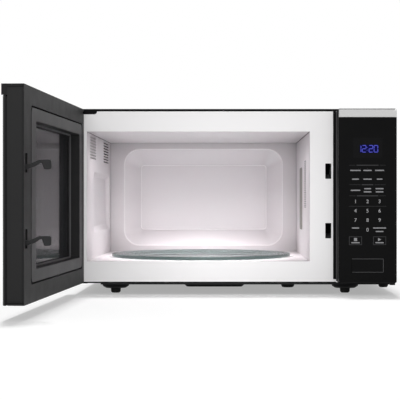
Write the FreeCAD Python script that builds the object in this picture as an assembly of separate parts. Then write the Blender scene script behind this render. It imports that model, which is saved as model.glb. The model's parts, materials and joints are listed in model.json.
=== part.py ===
import FreeCAD, Part
import math
import os

V = FreeCAD.Vector

# Sheet, walls and clearances, in mm
SHEET = 0.8
CASE_T = 1.0
WALL = 2.2
FIT_GAP = 0.1
RUN_GAP = 0.3
PIN_GAP = 0.05

# How far a cut runs past a face, how far joined shapes sink into each other, and the match of two places
PAST = 1.0
SINK = 1.0
NEAR = 0.01

# Cavity
CAV_W = 387.0
CAV_H = 225.3
CAV_D = 406.0
MOUTH_R = 0.8
BULGE_W = 329.0
BULGE_H = 200.0
BULGE_DEPTH = 30.0
BULGE_SLOPE = 33.0
BULGE_R = 32.0
BULGE_FLOOR_R = 6.0
BULGE_MOUTH_EDGE = 6.0
BULGE_BED_EDGE = 8.0
DISH_R = 177.0
DISH_DRAFT = 6.0
DISH_DEPTH = 19.1
DISH_EDGE_R = 2.0
DISH_FLOOR_R = 6.0
SHAFT_HOLE_GAP = 1.5

# Left wall: two banks of vent slots over a shallow side bulge
VENT_ROWS = 8
VENT_PITCH = 5.27
VENT_H = 2.3
VENT_L = 95.0
VENT_TOP = 6.2
VENT_FRONT = 47.0
VENT_REAR = 39.0
SIDE_BULGE_FRONT = 105.0
SIDE_BULGE_REAR = 21.0
SIDE_BULGE_LOW = 48.0
SIDE_BULGE_HIGH = 67.3
SIDE_BULGE_DEPTH = 8.0
SIDE_BULGE_R = 18.0
SIDE_BULGE_EDGE = 4.0

# Right wall: microwave port, its cover and the lamp's patch of slits
PORT_BACK = 246.5
PORT_W = 61.0
PORT_H = 107.0
PORT_Z = 149.7
COVER_OVER = 6.0
COVER_R = 8.0
MICA_T = 0.6
PERF_BACK = 125.0
PERF_Z = 175.8
PERF_ROWS = 26
PERF_COLUMNS = 4
PERF_PITCH = 3.36
PERF_H = 1.6
PERF_L = 10.4
PERF_STEP = 11.8

# Room kept round the cavity
CAV_LEFT_GAP = 19.5
COMPARTMENT_W = 146.5
CAV_FLOOR_GAP = 40.1
CAV_TOP_GAP = 39.1
REAR_GAP = 10.0

# Case
FOOT_CLEAR = 17.0
CASE_BEND_R = 5.0
CASE_LIP = 3.4
REAR_LIP = 12.0
LOUVRE_L = 42.0
LOUVRE_H = 3.2
LOUVRE_PITCH = 8.5
LOUVRE_ROWS = 8
LOUVRE_COLUMNS = 2
LOUVRE_LOW = 70.0
LOUVRE_BACK = 36.0
REAR_SLOT_L = 46.0
REAR_SLOT_GAP = 4.0
REAR_SLOT_ROWS = 9
REAR_SCREW_LEVELS = (0.2, 0.68)
SCREW_R = 1.9
SCREW_HEAD_R = 4.0
SCREW_HEAD_H = 2.2
SCREW_TAPER = 1.0
SCREW_L = 8.0
CROSS_L = 4.4
CROSS_W = 1.0
GLAND_R = 7.0
GLAND_FLANGE_R = 11.0
GLAND_BORE_R = 4.0
GLAND_FLANGE_T = 2.5
GLAND_NOSE_L = 4.0
GLAND_TAIL_L = 6.0
GLAND_BARB = 1.2

# Base and feet
BASE_LIP = 4.0
BASE_FLANGE = 12.0
BASE_NOTCH_W = 40.0
BASE_NOTCH_D = 34.0
FOOT_R = 9.0
FOOT_DRAFT = 0.6
FOOT_BEVEL = 2.0
FOOT_STEM_R = 3.5
FOOT_CAP_R = 5.0
FOOT_CAP_TIP_R = 2.5
FOOT_CAP_H = 3.0
FOOT_INSET_LEFT = 65.9
FOOT_INSET_RIGHT = 81.5
FOOT_INSET_Y = 42.0
STAMP_SHOULDER = 0.35
BOSS_R = 25.0
BOSS_DRAFT = 7.0
BOSS_DEPTH = 8.2
RIB_X = 240.5
RIB_W = 110.0
RIB_D = 34.0
RIB_DEPTH = 6.0
RIB_R = 8.0
DIMPLES = ((182.8, 12.4), (13.5, 9.5))
DIMPLE_DRAFT = 3.0
DIMPLE_DEPTH = 7.4

# Front frame
LATCH_SLOT_W = 10.3
LATCH_SLOT_H = 26.6
LATCH_SLOT_R = 1.0
FRAME_FLANGE = 8.0
FRAME_R = 2.5
WORKS_SIDE = 6.0
WORKS_EDGE = 14.0
WORKS_LOW = 12.0
WORKS_HIGH = 24.0
WORKS_R = 4.0
SLIT_W = 4.6
SLIT_LOW = 5.7
SLIT_HIGH = 4.6

# Door
DOOR_STANDOFF = 2.0
DOOR_OPEN_DEG = 93.2
DOOR_TOP_GAP = 1.5
DOOR_BOTTOM_RAISE = 3.5
DOOR_SIDE_GAP = 1.4
COVER_T = 3.0
COVER_LIP = 6.0
DOOR_FRAME_D = 20.0
TAPE_T = 1.8
TAPE_W = 10.0
TAPE_INSET = 1.6
GLASS_T = 4.0
BAND_H = 15.2
BAND_PROUD = 2.1
BAND_EDGE_R = 1.6
BAND_CORNER_R = 5.5
DOOR_CORNER_R = 2.0
INNER_EDGE_R = 6.0
END_GROOVE_Z = 5.2
END_GROOVE_W = 0.9
END_GROOVE_D = 0.6
SEAL_FREE = 46.0
SEAL_HINGE = 24.0
SEAL_Z = 28.0
SEAL_R = 9.0
SEAL_GROOVE = 2.4
SEAL_GROOVE_FREE = 4.5
WINDOW_FREE = 29.0
WINDOW_HINGE = 20.3
WINDOW_RIM = 17.0
WINDOW_DEPTH = 20.5
WINDOW_R = 5.0
INNER_GLASS_T = 3.0
SCREEN_T = 0.6
SCREEN_INSET = 1.5
SCREEN_LEDGE = 9.0
TRIM_T = 2.6
TRIM_W = 2.0
LINER_T = 0.8
LINER_IN = 0.6

# Hinges
HINGE_INSET = 7.0
HINGE_OUT = 10.5
TONGUE_HALF = 5.6
TONGUE_T = 3.0
TONGUE_INSET = 3.6
TONGUE_ROOM = 3.4
LEAF_T = 1.2
LEAF_R = 1.0
UPPER_LEAF_W = 36.0
UPPER_LEAF_H = 5.6
UPPER_LEAF_CUT = 5.0
UPPER_SCREWS = (16.2, 29.3)
UPPER_SCREW_UP = 2.2
LOWER_LEAF_W = 13.0
LOWER_LEAF_H = 38.0
LOWER_SCREWS = (17.0, 31.0)
LOWER_FOOT_W = 17.2
LOWER_FOOT_D = 18.0
LOWER_FOOT_T = 2.2
HINGE_SCREW_R = 1.3
HINGE_SCREW_HEAD_R = 2.2
HINGE_SCREW_HEAD_H = 2.0
PIN_R = 3.0
PIN_L = 14.0
PIN_FLANGE_R = 4.6
PIN_FLANGE_T = 1.0
BUSH_R = 5.2
CORNER_BLOCK_W = 11.0
CORNER_BLOCK_H = 26.0

# Latch in the door
HOOK_INSET = 14.0
HOOK_W = 5.0
HOOK_UPPER_Z = 192.3
HOOK_LOWER_Z = 88.9
HOOK_IN = 7.0
HOOK_ROOT = 4.2
HOOK_REACH = 34.6
HOOK_TOP = 8.4
HOOK_NECK = 2.6
HOOK_NOSE = 4.7
HOOK_HEAD_L = 9.7
HOOK_NOTCH_Z = 4.0
HOOK_NOTCH_L = 2.4
HOOK_FALL = 3.0
HOOK_SAG = 0.3
HOOK_WAIST = 5.2
HOOK_SHOULDER = 18.5
HOOK_EDGE_R = 1.0
HOOK_HEAD_R = 2.6
HOOK_BEND_R = 8.0
HOOK_TRAVEL = 6.0
LATCH_BAR_W = 8.0
LATCH_BAR_D = 8.0
LATCH_BAR_R = 1.0
LATCH_BAR_IN = 6.0
LATCH_BAR_MARGIN = 14.0
LATCH_SLOT_DOWN = 8.9
TANG_L = 5.0
TANG_W = 3.0
TANG_T = 2.0
PEG_R = 2.0
PEG_SHORT = 2.5
SPRING_L = 34.0
SPRING_W = 5.0
SPRING_T = 0.8
SPRING_D = 4.0
SPRING_FOLDS = 6

# Control panel
PANEL_W = 99.1
PANEL_RAISE = 1.0
PANEL_CORNER_R = 3.5
PANEL_FLANGE_W = 1.9
PANEL_FLANGE_T = 1.2
PANEL_FLANGE_END = 4.6
PANEL_TAB_W = 9.3
PANEL_TAB_INSET = 2.2
PANEL_TAB_H = 3.7
BUTTON_W = 55.0
BUTTON_H = 24.6
BUTTON_UP = 31.0
BUTTON_R = 1.5
BUTTON_GAP = 0.5
BUTTON_PROUD = 0.3
BUTTON_CAP_T = 6.0
BUTTON_PEG_R = 3.0
BUTTON_PEG_L = 3.0
STEM_W = 6.0
STEM_H = 7.0
STEM_OFF = -19.0
WEB_T = 2.4
WEB_BACK = 4.0
DISPLAY_W = 50.0
DISPLAY_H = 34.0
DISPLAY_DOWN = 52.0
BOARD_T = 1.6
BOARD_BACK = 11.0
BOARD_SIDE = 7.2
BOARD_LOW = 10.6
BOARD_TOP = 6.6
POST_R = 3.0
POST_INSET = 7.0
CHIPS = ((16.0, 20.0, 8.0), (16.0, 20.0, 8.0), (24.0, 12.0, 7.0), (30.0, 26.0, 9.0))
CHIP_SIDE = 12.0
CHIP_LOW = 26.0
CHIP_STEP = 38.0

# Latch board, switches and release bar behind the front frame
BOARD_WALL_OFF = 9.5
BOARD_WALL_T = 3.0
BOARD_DEPTH = 52.0
BOARD_UNDER = 16.0
BOARD_OVER = 30.0
BOARD_TAB_T = 2.5
BOARD_TAB_H = (12.0, 6.0)
STRIKE_Y0 = 6.0
STRIKE_CREST = 14.5
STRIKE_Y1 = 20.0
STRIKE_LOW = 12.0
STRIKE_RAMP = 5.6
STRIKE_TOP = 0.8
RELEASE_OFF = 10.0
BAR_T = 4.0
LIFT_Y0 = 20.5
LIFT_Y1 = 29.5
LUG_H = 4.0
RAMP_END = 24.0
RAMP_REACH = 30.0
GUIDE_WALL = 4.0
GUIDE_HALF = 8.0
SWITCH_W = 6.4
SWITCH_D = 10.0
SWITCH_H = 20.0
SWITCH_GAP = 3.4
SWITCH_DOWN = 6.0
SWITCH_STEP = 28.0
PLUNGER_W = 2.0
PLUNGER_L = 1.6
PLUNGER_H = 3.0
PLUNGER_UP = 12.0
SWITCH_TABS = (2.0, 9.0, 15.0)
SWITCH_TAB_T = 0.8
SWITCH_TAB_H = 4.0
SWITCH_TAB_L = 6.0

# Turntable
ARMS = 3
TRAY_R = 169.0
TRAY_T = 5.0
TRAY_RISE = 7.7
TRAY_FLAT_R = 140.0
TRAY_BEND_R = 30.0
RIM_W = 5.5
RIM_H = 3.6
RIM_EDGE_R = 1.7
RIM_INNER_R = 4.0
TRAY_LUG_W = 8.0
TRAY_LUG_H = 4.0
TRAY_LUG_START = 3.0
TRAY_LUG_END = 4.0
ROLLER_R = 5.85
ROLLER_W = 7.0
ROLLER_BEVEL = 0.8
ROLLER_BORE_R = 1.8
ROLLER_HOLE_R = 1.0
ROLLER_HOLE_AT = 0.64
TRACK_R = 115.0
RING_R = 104.0
RING_W = 4.5
RING_H = 4.4
RING_BEVEL = 0.8
RING_TURN_DEG = 30.0
RING_BOSS_R = 3.2
AXLE_R = 1.7
AXLE_CAP_R = 2.8
AXLE_CAP_L = 1.6
COUPLER_HUB_R = 11.0
COUPLER_ARM_R = 30.0
COUPLER_ARM_W = 9.0
COUPLER_ARM_H = 6.0
COUPLER_CLEAR = 1.2
COUPLER_ROOF = 2.0
SHAFT_R = 3.5
SHAFT_SEAT = 4.0
MOTOR_R = 25.0
MOTOR_H = 16.5
MOTOR_BEVEL = 1.5
MOTOR_EAR_L = 8.0
MOTOR_EAR_W = 14.0
MOTOR_EAR_T = 1.2
MOTOR_EAR_R = 5.0
MOTOR_PLUG_W = 18.0
MOTOR_PLUG_OUT = 5.0
MOTOR_PLUG_IN = 8.0
MOTOR_PLUG_DOWN = 4.0

# Fan
FAN_R = 48.0
FAN_BLADES = 5
FAN_TIP_GAP = 3.0
FAN_BOX = 114.0
FAN_BOX_D = 38.0
FAN_BOX_R = 8.0
FAN_DOWN = 22.0
FAN_BRIDGE_H = 22.0
FAN_BRIDGE_T = 6.0
FAN_BRIDGE_OUT = 4.0
FAN_SHAFT_R = 2.5
FAN_HUB_R = 13.0
FAN_HUB_L = 20.0
FAN_HUB_IN = 5.0
FAN_HUB_BEVEL = 3.0
BLADE_T = 1.6
BLADE_ROOT = (11.0, 22.0, 46.0)
BLADE_TIP = (32.0, 24.0)
FAN_MOTOR_D = 30.0
FAN_SHAFT_SEAT = 8.0
FAN_STACK_W = 60.0
FAN_STACK_UP = 20.0
FAN_STACK_DOWN = 26.0
FAN_STACK_IN = 6.0
FAN_STACK_R = 3.0
FAN_BELL_R = 14.0
FAN_COIL_R = 12.0
FAN_COIL_L = 40.0
FAN_COIL_DOWN = 30.0

# Magnetron and waveguide
GUIDE_DEPTH = 40.0
GUIDE_T = 1.0
GUIDE_OVER = 3.0
GUIDE_RIM = 7.0
ANTENNA_R = 10.0
ANTENNA_L = 26.0
ANTENNA_GAP = 3.0
MAG_W = 74.0
MAG_H = 62.0
MAG_L = 58.0
MAG_UP = 6.0
YOKE_T = 2.0
ANODE_R = 19.0
MAG_FINS = 8
FIN_T = 1.0
FIN_END = 10.0
FIN_SIDE = 3.0
FILTER_BOX_L = 26.0
FILTER_BOX_W = 60.0
FILTER_BOX_H = 52.0

# Transformer, capacitor and boards on the base
HVT_IN = 10.0
HVT_AT = 0.46
HVT_PLATE_W = 100.0
HVT_PLATE_D = 92.0
HVT_PLATE_T = 2.0
HVT_CORE_W = 88.0
HVT_CORE_D = 56.0
HVT_CORE_H = 74.0
HVT_COILS = 2
HVT_COIL_W = 60.0
HVT_COIL_D = 88.0
HVT_COIL_H = 28.0
HVT_COIL_R = 12.0
HVT_COIL_LOW = 8.0
HVT_COIL_STEP = 33.0
CAN_W = 52.0
CAN_H = 34.0
CAN_L = 84.0
CAN_FLAT = 0.5
CAN_IN = 18.0
CAN_REAR = 14.0
CAN_TAB_IN = 12.0
CAN_TAB_W = 6.0
CAN_TAB_L = 9.0
CAN_TAB_T = 1.0
STRAP_W = 16.0
STRAP_T = 1.2
STRAP_FOOT = 16.0
FILTER_IN = 40.0
FILTER_BACK = 64.0
FILTER_W = 76.0
FILTER_D = 84.0
FILTER_UP = 8.0
FILTER_POST_IN = 6.0
CHOKE_X = 24.0
CHOKE_Y = 30.0
CHOKE_R = 15.0
CHOKE_H = 18.0
FILTER_CAPS = 2
FILTER_CAP_X = 44.0
FILTER_CAP_Y = 12.0
FILTER_CAP_STEP = 22.0
FILTER_CAP_W = 26.0
FILTER_CAP_D = 12.0
FILTER_CAP_H = 21.0
FUSE_X = 10.0
FUSE_Y = 58.0
FUSE_W = 50.0
FUSE_D = 10.0
FUSE_H = 9.0

# Air duct with the lamp, and the thermal cut-outs on the cavity
DUCT_X = 40.0
DUCT_Y = 100.0
DUCT_H = 108.0
DUCT_T = 1.6
DUCT_R = 4.0
DUCT_MOUTH_X = 8.0
DUCT_MOUTH_Z = 16.0
LAMP_R = 11.0
LAMP_HOLE_GAP = 1.0
LAMP_CAP_R = 9.0
LAMP_CAP_L = 11.0
LAMP_NECK_L = 5.0
LAMP_BULB_L = 8.0
LAMP_TIP_R = 5.5
LAMP_FLANGE = 34.0
LAMP_FLANGE_T = 2.0
LAMP_FLANGE_R = 3.0
LAMP_PLUG_L = 14.0
LAMP_PLUG_W = 16.0
LAMP_PLUG_H = 12.0
CUTOUT_INSET = 40.0
CUTOUT_AT = (0.3, 0.75)
CUTOUT_R = 8.0
CUTOUT_H = 7.0
CUTOUT_PLATE_W = 30.0
CUTOUT_PLATE_D = 10.0
CUTOUT_PLATE_T = 1.0
CUTOUT_PLATE_R = 4.0
CUTOUT_TAB_OFF = 4.0
CUTOUT_TAB_W = 4.0
CUTOUT_TAB_T = 0.8
CUTOUT_TAB_H = 8.0

# Places that follow from the sizes above
CAB_W = CAV_LEFT_GAP + CAV_W + COMPARTMENT_W
CAB_D = CAV_D + BULGE_DEPTH + REAR_GAP
BODY_H = CAV_FLOOR_GAP + CAV_H + CAV_TOP_GAP
BASE_Z = FOOT_CLEAR
BASE_FLOOR = BASE_Z + CASE_T
CAB_TOP = BASE_Z + BODY_H
CAB_X0 = -CAB_W / 2
CAB_X1 = CAB_W / 2
YF = -CAB_D / 2
YB = CAB_D / 2
REAR_Y = YB - 2 * CASE_T
CAV_X0 = CAB_X0 + CAV_LEFT_GAP
CAV_X1 = CAV_X0 + CAV_W
CAV_Z0 = BASE_Z + CAV_FLOOR_GAP
CAV_Z1 = CAV_Z0 + CAV_H
CAV_Y0 = YF + CASE_T
CAV_Y1 = YF + CAV_D
CAV_XC = (CAV_X0 + CAV_X1) / 2
CAV_YC = YF + CAV_D / 2
CAV_ZC = (CAV_Z0 + CAV_Z1) / 2
BAY_X0 = CAV_X1 + SHEET
FRAME_X0 = CAB_X0 + CASE_LIP + FIT_GAP
FRAME_X1 = -FRAME_X0
FRAME_Z0 = BASE_Z + BASE_LIP + FIT_GAP
FRAME_Z1 = CAB_TOP - CASE_LIP - FIT_GAP
DISH_Z = CAV_Z0 - DISH_DEPTH

PANEL_X0 = CAB_X1 - PANEL_W
DOOR_X0 = CAB_X0
DOOR_X1 = PANEL_X0 - DOOR_SIDE_GAP
DOOR_Z0 = BASE_Z + DOOR_BOTTOM_RAISE
DOOR_Z1 = CAB_TOP - DOOR_TOP_GAP
DOOR = (DOOR_X0, DOOR_X1, DOOR_Z0, DOOR_Z1)
DOOR_IN = YF - DOOR_STANDOFF
FRAME_BACK = COVER_T + DOOR_FRAME_D
GLASS_BACK = FRAME_BACK + TAPE_T
DOOR_T = GLASS_BACK + GLASS_T
BAND_Z0 = DOOR_Z1 - BAND_H
HINGE_X = DOOR_X0 + HINGE_INSET
HINGE_Y = YF - HINGE_OUT
LEAF_X0 = HINGE_X - TONGUE_HALF
UPPER_LEAF_Z = FRAME_Z1 - UPPER_LEAF_H
LOWER_LEAF_Z = FRAME_Z0 - LOWER_FOOT_T
TONGUE_TOP_Z1 = DOOR_Z1 - TONGUE_INSET
TONGUE_TOP_Z0 = TONGUE_TOP_Z1 - TONGUE_T
TONGUE_LOW_Z0 = DOOR_Z0 + TONGUE_INSET
TONGUE_LOW_Z1 = TONGUE_LOW_Z0 + TONGUE_T
HOOK_X = DOOR_X1 - HOOK_INSET
HOOK_ZS = [BASE_Z + HOOK_UPPER_Z, BASE_Z + HOOK_LOWER_Z]
LATCH_D = COVER_T + LATCH_BAR_IN
LATCH_MID = LATCH_D + LATCH_BAR_D / 2
LATCH_Z0 = HOOK_ZS[1] - LATCH_BAR_MARGIN
LATCH_Z1 = HOOK_ZS[0] + LATCH_BAR_MARGIN
PEG_Z = LATCH_Z0 - TANG_L - SPRING_L - PEG_R

SEAL = (DOOR_X0 + SEAL_HINGE, DOOR_X1 - SEAL_FREE, DOOR_Z0 + SEAL_Z, DOOR_Z1 - SEAL_Z)
SEAL_X0 = SEAL[0] - SEAL_GROOVE
SEAL_HOLE = (SEAL_X0, SEAL[1] + SEAL_GROOVE_FREE, SEAL[2] - SEAL_GROOVE, SEAL[3] + SEAL_GROOVE)
WINDOW = (SEAL[0] + WINDOW_HINGE, SEAL[1] - WINDOW_FREE, SEAL[2] + WINDOW_RIM, SEAL[3] - WINDOW_RIM)

PANEL = (PANEL_X0, CAB_X1, DOOR_Z0 + PANEL_RAISE, DOOR_Z1)
PANEL_FACE = YF - DOOR_STANDOFF - DOOR_T
FASCIA_BACK = PANEL_FACE + GLASS_T
BAND_BACK = DOOR_IN - FRAME_BACK
BUTTON_X = (PANEL_X0 + CAB_X1) / 2
BUTTON_Z = DOOR_Z0 + BUTTON_UP
BUTTON_X0 = BUTTON_X - BUTTON_W / 2
BUTTON_Z0 = BUTTON_Z - BUTTON_H / 2
BUTTON_HOLE = (BUTTON_X0, BUTTON_X0 + BUTTON_W, BUTTON_Z0, BUTTON_Z0 + BUTTON_H)
BUTTON_BACK = PANEL_FACE + BUTTON_CAP_T
STEM_X = BUTTON_X + STEM_OFF
STEM = (STEM_X - STEM_W / 2, STEM_X + STEM_W / 2, BUTTON_Z - STEM_H / 2, BUTTON_Z + STEM_H / 2)
STEM_TIP = YF + RAMP_END
WEB_Y0 = YF - WEB_T - WEB_BACK
BOARD = (PANEL_X0 + BOARD_SIDE, CAB_X1 - BOARD_SIDE, BUTTON_HOLE[3] + BOARD_LOW, BAND_Z0 - BOARD_TOP)
RELEASE_X = HOOK_X + HOOK_W / 2 + RELEASE_OFF
BOARD_X = HOOK_X - BOARD_WALL_OFF

ROLLER_Z = DISH_Z + ROLLER_R + RUN_GAP
TRAY_Z = ROLLER_Z + ROLLER_R + RUN_GAP
PORT_Y = YF + PORT_BACK
PORT_ZC = BASE_Z + PORT_Z
PORT = (PORT_Y - PORT_W / 2, PORT_Y + PORT_W / 2, PORT_ZC - PORT_H / 2, PORT_ZC + PORT_H / 2)
PERF_Y = YF + PERF_BACK
PERF_ZC = BASE_Z + PERF_Z
DUCT = (PERF_Y - DUCT_Y / 2, PERF_Y + DUCT_Y / 2, PERF_ZC - DUCT_H / 2, PERF_ZC + DUCT_H / 2)
FAN_X = BAY_X0 + COMPARTMENT_W / 2
FAN_Z = CAB_TOP - FAN_BOX / 2 - FAN_DOWN
FAN_Y0 = REAR_Y - FAN_BOX_D
FAN_MOTOR_Y1 = FAN_Y0 - FAN_BRIDGE_OUT
FAN_MOTOR_Y0 = FAN_MOTOR_Y1 - FAN_MOTOR_D
MAG_X0 = BAY_X0 + GUIDE_DEPTH
MAG_Z = PORT[3] - MAG_H / 2 + MAG_UP
CAN_X0 = BAY_X0 + CAN_IN
CAN_Y0 = REAR_Y - CAN_L - CAN_REAR
CAN_R = CAN_H / 2 - CAN_FLAT
GLAND_X = CAB_X1 - FOOT_INSET_RIGHT / 2
GLAND_Z = BASE_Z + BASE_FLANGE + GLAND_FLANGE_R + LOUVRE_PITCH

ALONG_X = (1, 0, 0)
ALONG_Y = (0, 1, 0)
ALONG_Z = (0, 0, 1)


# Small shape builders

def block(x0, x1, y0, y1, z0, z1):
    return Part.makeBox(x1 - x0, y1 - y0, z1 - z0, V(x0, y0, z0))


def rod(start, along, radius, length):
    return Part.makeCylinder(radius, length, V(*start), V(*along))


def place(plane, a, b, c):
    if plane == "xz":
        return V(a, c, b)
    if plane == "yz":
        return V(c, a, b)
    return V(a, b, c)


def seen_on(plane, point):
    if plane == "xz":
        return point.x, point.z, point.y
    if plane == "yz":
        return point.y, point.z, point.x
    return point.x, point.y, point.z


def grown(rect, by):
    return (rect[0] - by, rect[1] + by, rect[2] - by, rect[3] + by)


def moved(points, a, b):
    return [(a + point[0], b + point[1]) + tuple(point[2:]) for point in points]


def rounded_corner(before, here, after, radius):
    back = (before - here).normalize()
    ahead = (after - here).normalize()
    half = back.getAngle(ahead) / 2
    reach = radius / math.tan(half)
    inward = (back + ahead).normalize()
    middle = here + inward * (radius / math.sin(half) - radius)
    return here + back * reach, middle, here + ahead * reach


# A closed outline through corners of two numbers, with a third where a corner is rounded
def loop(plane, points, c):
    spots = [V(point[0], point[1], 0) for point in points]
    corners = []
    for i, point in enumerate(points):
        after = spots[(i + 1) % len(spots)]
        if len(point) > 2 and point[2] > 0:
            corners.append(rounded_corner(spots[i - 1], spots[i], after, point[2]))
        else:
            corners.append((spots[i], None, spots[i]))
    edges = []
    for i, (start, middle, end) in enumerate(corners):
        if middle is not None:
            arc = [place(plane, spot.x, spot.y, c) for spot in (start, middle, end)]
            edges.append(Part.Arc(*arc).toShape())
        ahead = corners[(i + 1) % len(corners)][0]
        if end.distanceToPoint(ahead) > NEAR:
            line = [place(plane, spot.x, spot.y, c) for spot in (end, ahead)]
            edges.append(Part.LineSegment(*line).toShape())
    return Part.Wire(edges)


# Radii run from the low left corner round by the low right one
def outline(plane, rect, c, r=0.0):
    a0, a1, b0, b1 = rect
    radii = r if isinstance(r, tuple) else (r, r, r, r)
    corners = ((a0, b0), (a1, b0), (a1, b1), (a0, b1))
    return loop(plane, [(a, b, radius) for (a, b), radius in zip(corners, radii)], c)


def slab(plane, rect, c0, c1, r=0.0):
    return Part.Face(outline(plane, rect, c0, r)).extrude(place(plane, 0, 0, c1 - c0))


def profile(plane, points, c0, c1):
    return Part.Face(loop(plane, points, c0)).extrude(place(plane, 0, 0, c1 - c0))


def tapered(plane, rect0, c0, r0, rect1, c1, r1):
    return Part.makeLoft([outline(plane, rect0, c0, r0), outline(plane, rect1, c1, r1)], True, True)


# A solid turned from corners of radius and height about an axis through the centre
def turned(points, centre, along=ALONG_Z):
    shape = Part.Face(loop("xz", points, 0.0)).revolve(V(0, 0, 0), V(*ALONG_Z), 360)
    if along == ALONG_Y:
        shape.rotate(V(0, 0, 0), V(*ALONG_X), -90)
    if along == ALONG_X:
        shape.rotate(V(0, 0, 0), V(*ALONG_Y), 90)
    shape.translate(V(*centre))
    return shape


def merged(shapes):
    whole = shapes[0].fuse(shapes[1:])
    return whole.removeSplitter()


def about_z(shape, x, y, degrees):
    copy = shape.copy()
    copy.rotate(V(x, y, 0), V(*ALONG_Z), degrees)
    return copy


def edges_at(shape, plane, c, rect):
    found = []
    for edge in shape.Edges:
        a, b, level = seen_on(plane, edge.CenterOfMass)
        inside = rect[0] - NEAR < a < rect[1] + NEAR and rect[2] - NEAR < b < rect[3] + NEAR
        if inside and abs(level - c) < NEAR:
            found.append(edge)
    return found


# Sheet with a drawn recess: rounded where it leaves the sheet and where it meets its bed
def drawn(plane, sheet, mouth, c0, r0, bed, c1, r1, mouth_edge, bed_edge):
    skin = SHEET if c1 > c0 else -SHEET
    wide = grown(bed, SHEET)
    outer = tapered(plane, grown(mouth, SHEET), c0, r0, wide, c1 + skin, r1)
    outer = outer.makeFillet(bed_edge + SHEET, edges_at(outer, plane, c1 + skin, wide))
    inner = tapered(plane, mouth, c0, r0, bed, c1, r1)
    inner = inner.makeFillet(bed_edge, edges_at(inner, plane, c1, bed))
    wall = merged([sheet, outer]).cut(inner)
    return wall.makeFillet(mouth_edge, edges_at(wall, plane, c0, mouth))


def as_opened(shape):
    return about_z(shape, HINGE_X, HINGE_Y, -DOOR_OPEN_DEG)


def door_y(depth):
    return DOOR_IN - depth


def door_slab(rect, d0, d1, r=0.0):
    return slab("xz", rect, door_y(d1), door_y(d0), r)


# Case

def case_block(inset, y0, y1, below=0.0):
    half = CAB_W / 2 - inset
    r = max(CASE_BEND_R - inset, 0.0)
    return slab("xz", (-half, half, BASE_Z - below, CAB_TOP - inset), y0, y1, (0.0, 0.0, r, r))


def case_arch(outer, inner, y0, y1):
    return case_block(outer, y0, y1).cut(case_block(inner, y0 - PAST, y1 + PAST, PAST))


def rear_screw_places():
    top = CAB_TOP - REAR_LIP / 2
    side = CAB_W / 2 - REAR_LIP / 2
    inner = side - CAB_W / 8
    spots = [(x, top) for x in (-inner, 0.0, inner)]
    for level in REAR_SCREW_LEVELS:
        z = BASE_Z + BODY_H * level
        spots += [(-side, z), (side, z)]
    return spots


def rear_screw_holes():
    start = YB - SCREW_L - PAST
    length = SCREW_L + 2 * PAST
    return [rod((x, start, z), ALONG_Y, SCREW_R + FIT_GAP, length) for x, z in rear_screw_places()]


def outer_wrap():
    shell = case_arch(0.0, CASE_T, YF, YB)
    front = case_arch(0.0, CASE_LIP, YF, YF + CASE_T)
    rear = case_arch(0.0, REAR_LIP, YB - CASE_T, YB)
    wrap = merged([shell, front, rear])
    cuts = rear_screw_holes()
    through = CASE_T + PAST
    for x in (CAB_X0, CAB_X1):
        for column in range(LOUVRE_COLUMNS):
            y1 = YB - LOUVRE_BACK - column * (LOUVRE_L + LOUVRE_PITCH)
            for row in range(LOUVRE_ROWS):
                z0 = BASE_Z + LOUVRE_LOW + row * LOUVRE_PITCH
                cuts.append(block(x - through, x + through, y1 - LOUVRE_L, y1, z0, z0 + LOUVRE_H))
    return wrap.cut(cuts)


def foot_places():
    left = CAB_X0 + FOOT_INSET_LEFT
    right = CAB_X1 - FOOT_INSET_RIGHT
    return [(x, y) for x in (left, right) for y in (YF + FOOT_INSET_Y, YB - FOOT_INSET_Y)]


# A round boss stamped down from the base; the inset gives its hollow
def stamped(x, y, radius, draft, depth, inset=0.0):
    low = BASE_Z - depth + inset
    top = BASE_Z + inset
    side = radius - inset
    shoulder = (side - draft * STAMP_SHOULDER, low + depth * STAMP_SHOULDER)
    return turned([(0, low), (side - draft, low), shoulder, (side, top), (0, top)], (x, y, 0))


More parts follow.
